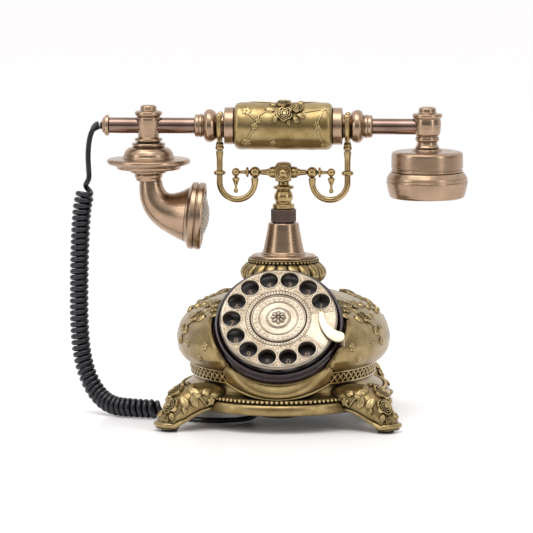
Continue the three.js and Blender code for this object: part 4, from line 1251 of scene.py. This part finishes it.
LEG_ROOT = (55, 70)
LEG_AHEAD = np.array([0.768, 0.641])
LEG_UPPER = [
    (-6, 35), (10, 35.2), (22, 34.4), (30, 31.2), (37, 25.6), (43, 19), (47.6, 12.8), (50.6, 7), (51.4, 2),
]
LEG_UNDER = [
    (-6, 14.6), (6, 14.2), (12, 13.4), (19, 11.6), (26, 9.2), (31, 6.8), (34.4, 4.6), (36, 3), (36.4, 2),
]
LEG_HALF = [20, 19.6, 18.2, 16.4, 14.4, 12.4, 11, 10.4, 10]
LEG_STEPS = 90
LEG_LINES = spline([(*a, *b, w) for a, b, w in zip(LEG_UPPER, LEG_UNDER, LEG_HALF)], LEG_STEPS)


def leg_at(along, turn):
    """A point of the front right leg: along from 0 at the root to 1 at the toe, turn in degrees
    round its section,
    0 on the front flank, 90 on top and 180 on the other flank."""
    row = np.asarray(along, float) * (LEG_STEPS - 1)
    upper_s, upper_z, under_s, under_z, half = (
        np.interp(row, np.arange(LEG_STEPS), LEG_LINES[:, k]) for k in range(5)
    )
    a = np.radians(turn)
    power = 2 / 2.7
    c = np.sign(np.cos(a)) * np.abs(np.cos(a)) ** power
    s = np.sign(np.sin(a)) * np.abs(np.sin(a)) ** power
    out = (upper_s + under_s) / 2 + (upper_s - under_s) / 2 * s
    z = (upper_z + under_z) / 2 + (upper_z - under_z) / 2 * s
    across = half * c
    x = LEG_ROOT[0] + LEG_AHEAD[0] * out - LEG_AHEAD[1] * across
    y = -LEG_ROOT[1] - LEG_AHEAD[1] * out - LEG_AHEAD[0] * across
    return np.stack([x, y, z], -1)


GRIP_RADIUS = 19.4


def grip_at(x, turn):
    """A point of the grip: x along the handset, turn in degrees, 0 at the front and 90 on top."""
    a = np.radians(turn)
    end = 1 - 0.16 * (np.abs(np.asarray(x, float)) / 40) ** 12
    return np.stack(
        [x + 0 * a, -GRIP_RADIUS * end * np.cos(a), HANDSET_Z + GRIP_RADIUS * end * np.sin(a)], -1,
    )

# ------------------------------------------------------------------ carved ornaments


def petal_rings(r, a, rings, sway):
    """Height, from 0 in a groove to 1 on a petal's edge, of a rose's overlapping petals at radius r
    and angle a."""
    height = np.zeros_like(r * a)
    inner = np.zeros_like(height)
    for number, (petals, reach) in enumerate(rings):
        scallop = np.abs(np.sin(petals / 2 * a + sway * number))
        outer = reach * (0.80 + 0.20 * scallop**0.6)
        share = np.clip((r - inner) / np.maximum(outer - inner, 1e-6), 0, 1)
        here = (r >= inner) & (r <= outer)
        height = np.where(here, smoothstep(share, 0.18, 0.72), height)
        inner = outer
    return height, inner


def rose(radius, height, rows=44, columns=84, sway=1.1):
    """An open rose: a round bud, then rings of cupped petals with open grooves between them."""
    r = np.linspace(0, 1.0, rows)[:, None]
    a = np.linspace(0, 2 * math.pi, columns, endpoint=False)[None, :]
    rings = [(2, 0.22), (3, 0.48), (4, 0.74), (5, 1.0)]
    edge, outline = petal_rings(r, a, rings, sway)
    edge = np.where(r < 0.13, 0.9, edge)
    crown = 0.60 + 0.40 * np.cos(math.pi / 2 * r)
    z = crown * height * (0.44 + 0.56 * edge)
    reach = np.minimum(r, outline * 0.999)
    z = np.where(r > 0.985, -0.9, z)
    x = radius * reach * np.cos(a)
    y = radius * reach * np.sin(a)
    return welded(grid(np.stack([x, y, z + 0 * x], -1)[::-1]))


def flower(radius, height, petals=5):
    """A small flat blossom with a round button."""
    r = np.linspace(0, 1, 14)[:, None]
    a = np.linspace(0, 2 * math.pi, 60, endpoint=False)[None, :]
    lobe = np.abs(np.cos(petals / 2 * a))
    edge = 0.55 + 0.45 * lobe**0.6
    share = np.clip(r / edge, 0, 1)
    z = height * np.clip(1 - share**4, 0, 1) * (0.35 + 0.65 * share) + 0 * a
    z = np.maximum(z, height * 1.15 * np.sqrt(np.clip(1 - (r / 0.26) ** 2, 0, 1)) + 0 * a)
    z = np.where(r > 0.99, -0.6, z)
    reach = np.minimum(r, edge)
    sheet = np.stack([radius * reach * np.cos(a), radius * reach * np.sin(a), z], -1)
    return welded(grid(sheet[::-1]))


# How far to step along each surface's two coordinates to find its directions.
STEPS = {"dome_at": (0.4, 0.01), "leg_at": (0.01, 1.0), "grip_at": (0.3, 1.0)}


def frame_on(surface, place_at):
    """A surface's point, its level and climbing directions, and the way out of it."""
    one, two = place_at
    step_one, step_two = STEPS[surface.__name__]
    at = surface(one, two)
    a_way = surface(one + step_one, two) - at
    b_way = surface(one, two + step_two) - at
    out = np.cross(a_way, b_way)
    out /= np.linalg.norm(out)
    if out @ (at - CENTRES[surface.__name__](at)) < 0:
        out = -out
    level = np.cross((0, 0, 1), out)
    if np.linalg.norm(level) < 0.2:
        level = np.array([1.0, 0.0, 0.0])
    level /= np.linalg.norm(level)
    return at, level, np.cross(out, level), out


def planted(shape, surface, place_at, spin=0.0, lift=0.0):
    """Sets a flat ornament on a surface, with its X turned spin degrees from level."""
    at, level, climb, out = frame_on(surface, place_at)
    c, s = math.cos(math.radians(spin)), math.sin(math.radians(spin))
    basis = np.array([c * level + s * climb, -s * level + c * climb, out])
    return shape.map(lambda p: p @ basis + at + lift * out)


def spray(surface, stops, pairs, length, width):
    """A stem with leaves to its left and right in turn, all pointing the way it runs."""
    places = spline([(a, b, 0) for a, b in stops], pairs * 2 + 2)[:, :2]
    made = [vine(surface, stops)]
    for number, (here, ahead) in enumerate(zip(places[:-1], places[1:])):
        at, level, climb, _ = frame_on(surface, here)
        way = surface(*ahead) - at
        heading = math.degrees(math.atan2(way @ climb, way @ level))
        side = 1 if number % 2 else -1
        size = length * (1 - 0.35 * number / len(places))
        one = leaf(size, width * size / length, 1.9).moved(x=size * 0.5)
        made.append(planted(one, surface, here, heading + side * 42, 0.15))
    return joined(made)


CENTRES = {
    "dome_at": lambda at: np.array([at[0] * 0.5, at[1] * 0.5, 62.0]),
    "leg_at": lambda at: np.array([55.0, -62.0, 14.0]),
    "grip_at": lambda at: np.array([at[0], 0.0, HANDSET_Z]),
}


def vine(surface, stops, radius=0.6, lift=0.2, count=26):
    """A thin stem laid on a surface through the given places."""
    places = spline([(a, b, 0) for a, b in stops], count)
    line = np.array([surface(a, b) for a, b, _ in places])
    out = line - np.array([CENTRES[surface.__name__](p) for p in line])
    out /= np.linalg.norm(out, axis=1)[:, None]
    taper = 0.35 + 0.65 * np.sin(math.pi * np.linspace(0.12, 0.9, count))
    return tube(line + lift * out, radius * taper, 8)


def garland(surface, roses=(), leaves=(), flowers=(), vines=(), sprays=()):
    """All the ornaments of one place, as one mesh."""
    made = []
    for place_at, radius, height, spin in roses:
        made.append(planted(rose(radius, height, sway=0.9 + 0.13 * spin), surface, place_at, spin * 17))
    for place_at, length, width, spin in leaves:
        made.append(planted(leaf(length, width, 1.9), surface, place_at, spin, 0.2))
    for place_at, radius, spin in flowers:
        made.append(planted(flower(radius, 1.1), surface, place_at, spin))
    for stops in vines:
        made.append(vine(surface, stops))
    for stops, pairs, length, width in sprays:
        made.append(spray(surface, stops, pairs, length, width))
    return joined(made)


# ------------------------------------------------------------------ body

DRUM_RADIUS = 54
DRUM_BACK = -66  # along the dial's axis, as are the next two
DIAL_SEAT = -15.4
BEHIND_THE_DIAL = -30
SEAT_RADIUS = 52.4
CUT_RADIUS = 50.4  # nearer the dial's axis than this, the dome is left out
RIM_RINGS = [
    (52.2, 54.2, 53.4), (54.2, 56.4, 54.4),
]  # radii from and to, and the radius that they are drawn to


def dome_mesh():
    """The oval dome: it is cut back to the drum's round rim, and the part inside the drum is left out."""
    columns = 440
    rows = 120
    angles = np.linspace(0, 360, columns, endpoint=False)
    heights = np.linspace(0, 1, rows)
    points = dome_at(angles[None, :], heights[:, None])
    uvw = to_dial(points)
    rho = np.hypot(uvw[..., 0], uvw[..., 1])
    front = points[..., 1] < -10
    for low, high, ring in RIM_RINGS:
        k = np.where(front & (rho >= low) & (rho < high), ring / np.maximum(rho, 1), 1.0)
        uvw[..., :2] *= k[..., None]
    near = 1.0 * front * (rho < RIM_RINGS[0][1])
    uvw[..., 2] += np.clip(DIAL_SEAT - uvw[..., 2], -14, 1.2) * near * (uvw[..., 2] > BEHIND_THE_DIAL)
    points = from_dial(uvw)
    wobble = np.array(
        [noise.noise(Vector(p) * 0.035) for p in points.reshape(-1, 3)]
    ).reshape(points.shape[:2])
    away = points - np.array([0, 0, 62.0])
    away /= np.linalg.norm(away, axis=-1)[..., None]
    points = points + away * (0.5 * wobble * (1 - near))[..., None]
    uvw = to_dial(points)
    rho = np.hypot(uvw[..., 0], uvw[..., 1])
    inside = front & (uvw[..., 2] > -56)
    snap = inside & (rho > CUT_RADIUS) & (rho < 53.0)
    k = np.where(snap, SEAT_RADIUS / np.maximum(rho, 1), 1.0)
    uvw[..., 0] *= k
    uvw[..., 1] *= k
    points = from_dial(uvw)
    shape = grid(points)
    drop = (inside & (rho <= CUT_RADIUS)).ravel()
    kept = [faces[~drop[faces].any(axis=1)] for faces in shape.faces]
    return Shape(shape.points, kept)


def drum_mesh():
    """The round housing that carries the dial, open at the front, with a soft lip."""
    profile = [
        (50.8, DRUM_BACK), (DRUM_RADIUS, DRUM_BACK), (DRUM_RADIUS, -17.4), (53.8, -16.2), (53, -15.7),
        (51.6, -15.7),
        (50.8, -16.4),
    ]
    return dialled(turned(profile, 200, 0.35, closed=True))


def top_ring():
    """The dome's edge under the lobed collar."""
    profile = [(8.2, 101.4), (29.4, 101.4), (29.4, 108.5), (8.2, 108.5)]
    return turned(profile, 96, 0.3, closed=True)


body = joined([dome_mesh(), drum_mesh(), top_ring()])
piece("body_shell_cast", body, "base", gold, ["body_shell"], sharp=50)


CHIN_HALF = 40
CHIN_TURN = 62  # degrees from the lowest point of the drum's lip to each end of the chin
CHIN_COLUMNS = 121
LIP_DEPTH = -16.4


def chin_foot(share):
    """Where the chin meets the base, for share from -1 at its left end to 1 at its right end."""
    x = CHIN_HALF * share
    return np.stack([x, -107.6 + 18.4 * share**2 - 1.0 * share**4, 26.4 + 10.4 * share**2], -1)


def chin_mesh():
    """The bowl under the dial: from the drum's lip down to the base, with a full belly."""
    share = np.linspace(-1, 1, CHIN_COLUMNS)
    angles = np.radians(-90 + CHIN_TURN * share)
    depth = np.full(CHIN_COLUMNS, LIP_DEPTH)
    lip = np.stack([DRUM_RADIUS * np.cos(angles), DRUM_RADIUS * np.sin(angles), depth], -1)
    lip = from_dial(lip)
    foot = chin_foot(share)
    down = np.linspace(0, 1, 30)[:, None, None]
    belly = np.sin(math.pi * down) * np.array([0, -1.0, -0.35]) * (2.6 * (1 - 0.6 * share**2))[None, :, None]
    front = lip * (1 - down) + foot * down + belly
    back = front[::-1] + np.array([0, 5.0, 1.0])
    loop = np.concatenate([front, back])
    sheet = grid(loop, wrap_rows=True, wrap_columns=False)
    index = np.arange(loop.shape[0] * loop.shape[1]).reshape(loop.shape[:2])
    return Shape(sheet.points, sheet.faces, [index[:, 0], index[::-1, -1]])


def chin_ridge():
    """The thin raised line where the bowl runs down into the base."""
    return tube(chin_foot(np.linspace(-1.02, 1.02, 110)) + (0, -0.3, 0), 1.15, 12)


RIGHT_ROSES = [((-31.5, 0.66), 7.4, 3.4, 0), ((-38.5, 0.60), 6.0, 3.0, 1), ((-27.5, 0.47), 6.4, 3.0, 2)]
RIGHT_LEAVES = [
    ((-43, 0.52), 9.5, 3.8, 60), ((-34, 0.47), 9.5, 3.8, -70), ((-23, 0.60), 10, 3.8, 20),
    ((-20, 0.46), 9, 3.4, -35), ((-25, 0.33), 9.5, 3.6, -60), ((-19, 0.34), 8, 3.0, -20),
    ((-22, 0.24), 6.5, 2.4, -75),
]
RIGHT_FLOWERS = [((-47, 0.24), 3.6, 10), ((-31, 0.23), 3.0, 40), ((-42, 0.14), 3.0, 70)]
RIGHT_VINES = [[(-31, 0.60), (-29, 0.46), (-24, 0.36), (-21, 0.27), (-19, 0.20)]]
RIGHT_SPRAYS = [([(-27, 0.68), (-18, 0.64), (-9, 0.56), (-2, 0.46)], 4, 8.5, 3.0)]


def shoulder_garland(rear):
    made = garland(dome_at, RIGHT_ROSES, RIGHT_LEAVES, RIGHT_FLOWERS, RIGHT_VINES, RIGHT_SPRAYS)
    return made.map(lambda p: p * (1, -1, 1)).flipped() if rear else made


for rear in (False, True):
    for left in (False, True):
        shape = shoulder_garland(rear)
        shape = shape.mirrored() if left else shape
        corner = ("rear" if rear else "front") + ("_left" if left else "_right")
        piece("garland_" + corner, shape, "base", relief_gold, sharp=50)

# ------------------------------------------------------------------ lattice band

BAND_CELLS = 84
BAND_LOW = 36.7
BAND_HIGH = 46.5


def band_mesh():
    """A strip of crossed straps with pierced-looking triangles between them, round the oval."""
    columns = 1680
    rows = 40
    phase = np.linspace(0, 1, columns, endpoint=False)[None, :]
    height = np.linspace(0, 1, rows)[:, None]
    zone = np.clip((height - 0.15) / 0.70, 0, 1)
    cell = (phase * BAND_CELLS) % 1
    one = np.abs(((cell - zone) + 0.5) % 1 - 0.5)
    two = np.abs(((cell + zone) + 0.5) % 1 - 0.5)
    strap = np.maximum(smoothstep(-one, -0.21, -0.12), smoothstep(-two, -0.21, -0.12))
    crossing = np.hypot((cell - 0.5) * 1.0, (zone - 0.5) * 1.25)
    crossing = np.minimum(crossing, np.hypot((cell - 0.0) * 1.0, (zone - 0.5) * 1.25))
    bead = np.sqrt(np.clip(1 - (crossing / 0.20) ** 2, 0, 1))
    rims = smoothstep(height, 0.16, 0.10) + smoothstep(height, 0.84, 0.90)
    raised = np.maximum(strap, rims)
    out = -1.5 + 1.5 * np.clip(raised, 0, 1) + 0.55 * bead * (rims < 0.3)
    out += 0.35 * np.sin(math.pi * np.clip(rims, 0, 1) * 0.5)
    base = np.interp(height, (0, 0.3, 0.7, 1), (75.6, 76.2, 76.6, 77.2))
    r = base + out
    a = 2 * math.pi * phase
    k = depth_of(base) - base
    x = r * np.cos(a)
    y = (r + k) * np.sin(a)
    z = BAND_LOW + (BAND_HIGH - BAND_LOW) * height + 0 * a
    sheet = np.stack([x + 0 * z, y, z], -1)
    inner_r = 73.0
    foot = np.stack([inner_r * np.cos(a[0]), (inner_r + 27) * np.sin(a[0]), np.full(columns, BAND_LOW)], -1)
    head = np.stack([inner_r * np.cos(a[0]), (inner_r + 27) * np.sin(a[0]), np.full(columns, BAND_HIGH)], -1)
    return grid(np.concatenate([foot[None], sheet, head[None]]), wrap_rows=True)


piece("lattice_band_cast", band_mesh(), "base", relief_gold, ["lattice_band"], sharp=50)

# ------------------------------------------------------------------ base and legs

SKIRT = [
    (69, 36.4), (69.5, 30), (79, 21.5), (79, 14), (82, 13.7), (84.8, 13.9), (86.6, 15), (87.6, 17),
    (87.7, 18.8), (87.2, 21), (86.2, 22.4), (84.6, 22.9), (83.1, 23.3), (82.4, 24), (82.1, 25), (81.6, 25.9),
    (80.6, 26.4), (78.6, 27), (76.6, 28.2), (75, 30.2), (74.1, 32.6), (73.6, 34.6), (73.4, 36.4),
]


def oval_turned(profile, sides, radius=0.3):
    shape = turned(profile, sides, radius, closed=True)

    def stretch(points):
        r = np.hypot(points[:, 0], points[:, 1])
        k = depth_of(r) / np.maximum(r, 1e-6)
        return points * np.stack([np.ones_like(k), k, np.ones_like(k)], -1)

    return shape.map(stretch)


BEADS = 156


def skirt_beads():
    """Round beads in the groove above the lip, evenly spread round the oval."""
    angles = np.linspace(0, 2 * math.pi, 2000, endpoint=False)
    oval = np.stack([83.6 * np.cos(angles), depth_of(83.6) * np.sin(angles), np.full(2000, 24.7)], -1)
    oval = np.vstack([oval, oval[:1]])
    places = evenly(oval, BEADS + 1)[:-1]
    one = ball(1.5, 14, 9)
    return joined([one.moved(*p) for p in places])


def leg_mesh():
    """The front right leg: a lofted scroll with a rounded border running down each side and round the toe."""
    along = np.linspace(0, 1, 70)[:, None]
    turn = np.linspace(0, 360, 72, endpoint=False)[None, :]
    points = leg_at(along, turn)
    sink = 0.9 * smoothstep(along, 0.2, 0.4) * smoothstep(along, 0.96, 0.86)
    flank = np.abs(np.cos(np.radians(turn))) ** 2
    middle_line = points.mean(axis=1, keepdims=True)
    away = points - middle_line
    points = points - away / np.linalg.norm(away, axis=-1)[..., None] * (sink * flank)[..., None]
    points[..., 2] = np.maximum(points[..., 2], 1.8)
    sheet = grid(points[::-1])
    count = points.shape[1]
    last = (points.shape[0] - 1) * count
    caps = [np.arange(last, last + count), np.arange(count)[::-1]]
    return Shape(sheet.points, sheet.faces, [caps[0], caps[1]])


def leg_border():
    """The rounded edge along the leg's lower sides."""
    down = np.linspace(0.16, 0.93, 34)
    near = leg_at(down, -34 + 30 * smoothstep(down, 0.75, 0.95))
    far = leg_at(down, 214 - 30 * smoothstep(down, 0.75, 0.95))
    toe = leg_at(np.full(15, 0.955), np.linspace(8, 172, 15))
    toe[:, 2] = np.minimum(toe[:, 2], 5.4)
    line = spline(np.vstack([near[::2], toe, far[::-2]]), 150)
    t = np.linspace(0, 1, 150)
    radius = 1.3 + 0.9 * np.sin(math.pi * t) ** 2
    return tube(line, radius, 12)


LEG_ROSES = [
    ((0.54, 104), 7.4, 3.2, 0), ((0.75, 82), 7.4, 3.2, 1), ((0.40, 122), 5.2, 2.6, 2),
    ((0.91, 70), 3.6, 2.0, 3),
]
LEG_LEAVES = [
    ((0.33, 32), 12, 3.5, 158), ((0.45, 56), 13, 3.9, 28), ((0.54, 14), 12, 3.8, 70),
    ((0.64, 40), 13, 3.8, 60), ((0.38, 84), 11, 3.3, 40), ((0.36, 150), 9, 3.0, 80),
    ((0.62, 142), 10, 3.0, -60), ((0.85, 110), 9, 2.7, -50), ((0.86, 44), 8, 2.6, 80),
    ((0.47, 30), 9, 2.8, -10), ((0.70, 12), 8, 2.6, 100),
]
LEG_FLOWERS = [((0.33, -2), 3.6, 20), ((0.62, 134), 3.0, 10)]
LEG_VINES = [
    [(0.41, -18), (0.44, 6), (0.46, 28), (0.53, 44)],
    [(0.30, 0), (0.36, -6), (0.41, -14)],
]
LEG_SPRAYS = [([(0.30, 112), (0.40, 114), (0.48, 118)], 2, 8, 3.0)]

skirt = oval_turned(SKIRT, 320)
leg_parts = joined([leg_mesh(), leg_border()])
leg_flora = garland(leg_at, LEG_ROSES, LEG_LEAVES, LEG_FLOWERS, LEG_VINES, LEG_SPRAYS)
REAR_INSET = 12


def four_corners(shape):
    right = [shape, shape.moved(x=-REAR_INSET).map(lambda p: p * (1, -1, 1)).flipped()]
    return right + [s.mirrored() for s in right]


base = joined([skirt, *four_corners(leg_parts)])
piece("base_casting_cast", base, "base", gold, ["base_casting"], sharp=50)
piece("base_beads_cast", skirt_beads(), "base", relief_gold, sharp=50)
piece("chin_cast", joined([chin_mesh(), chin_ridge()]), "base", gold, sharp=50)
piece("leg_flora_cast", joined(four_corners(leg_flora)), "base", relief_gold, sharp=50)

# ------------------------------------------------------------------ grip

GRIP_ROSES = [((1.5, 33), 6.6, 3.4, 0), ((11, 53), 5.6, 3.0, 1), ((0, 72), 5.6, 3.0, 2)]
GRIP_LEAVES = [
    ((-10.5, 46), 9, 3, 165), ((11, 20), 8, 2.6, -50), ((15, 30), 8, 2.6, -20), ((-6, 22), 8, 2.4, -110),
    ((-8, 66), 7.5, 2.4, 150), ((14, 78), 7.5, 2.4, 30), ((4, 92), 7.5, 2.4, 80), ((5, 14), 7, 2.2, -75),
]
GRIP_FLOWERS = [
    ((-29.5, 44), 4.2, 0), ((35, 48), 4.0, 30), ((-22.8, 4), 3.0, 10), ((-29.8, -39), 4.0, 40),
    ((29, -2), 3.0, 60), ((-19.8, 18), 2.6, 20), ((27.8, 9), 2.6, 45), ((34, -51), 3.4, 15),
    ((-8, -40), 2.6, 5), ((12, 150), 3.6, 30), ((-24, 130), 3.6, 10), ((26, 168), 3.2, 0),
    ((-6, 196), 3.2, 20),
]
GRIP_VINES = [
    [(-12, 44), (-19, 32), (-20, 18), (-23, 4)], [(-29, 44), (-26, 30), (-22, 20)],
    [(35, 48), (31, 30), (28, 9)],
    [(18, 40), (26, 46), (34, 48)], [(-22, 4), (-27, -18), (-30, -38)], [(28, 8), (30, -20), (34, -50)],
    [(-10, 84), (-24, 98), (-34, 120)], [(12, 84), (25, 100), (34, 124)], [(-6, 196), (10, 170), (26, 168)],
]


def grip_sleeve():
    """The sleeve's skin with rounded ends, a little uneven as a hand-worked casting is."""
    end = [(9.8, 40), (15.6, 40), (17.2, 39.4), (18.4, 38.2), (19.1, 36.6), (19.4, 34.6)]
    outside = [(19.4, x) for x in np.linspace(-33.4, 33.4, 60)]
    profile = [*[(r, -x) for r, x in end], *outside, *end[::-1]]
    shape = turned_x(profile, 192, 0, closed=True)

    def change(points):
        amount = np.array([noise.noise(Vector(p) * 0.09) for p in points])
        away = points - np.stack([points[:, 0], 0 * points[:, 0], np.full(len(points), HANDSET_Z)], -1)
        r = np.linalg.norm(away, axis=1)
        lift = 0.35 * amount * (r > 17)
        return points + away / np.maximum(r, 1)[:, None] * lift[:, None]

    return shape.map(change)


piece("grip_sleeve_cast", grip_sleeve(), "handset", gold, ["grip_sleeve"], sharp=50)
piece(
    "grip_flora_cast",
    garland(grip_at, GRIP_ROSES, GRIP_LEAVES, GRIP_FLOWERS, GRIP_VINES),
    "handset",
    relief_gold,
    sharp=50,
)

# ------------------------------------------------------------------ looks of the CAD nodes that stay

CORNERS = ("front_left", "front_right", "rear_left", "rear_right")
KEPT_LOOKS = {
    "bottom_cover": black_plastic,
    "circuit_board": board_green,
    "hook_switch": black_plastic,
    "gong_left": bell_brass,
    "gong_right": bell_brass,
    "ringer_coil": copper_wire,
    "clapper": steel,
    "line_socket": black_plastic,
    "cord_socket": black_plastic,
    "dial_frame": steel,
    "dial_gear": bell_brass,
    "dial_shaft": steel,
    "governor": steel,
    "hook_spring": steel,
    "microphone": black_plastic,
    "ear_speaker": black_plastic,
    **{"foot_pad_" + corner: pad_rubber for corner in CORNERS},
    **{"cover_screw_" + corner: steel for corner in CORNERS},
}
for node, look in KEPT_LOOKS.items():
    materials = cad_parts[node].data.materials
    materials.clear()
    materials.append(look)
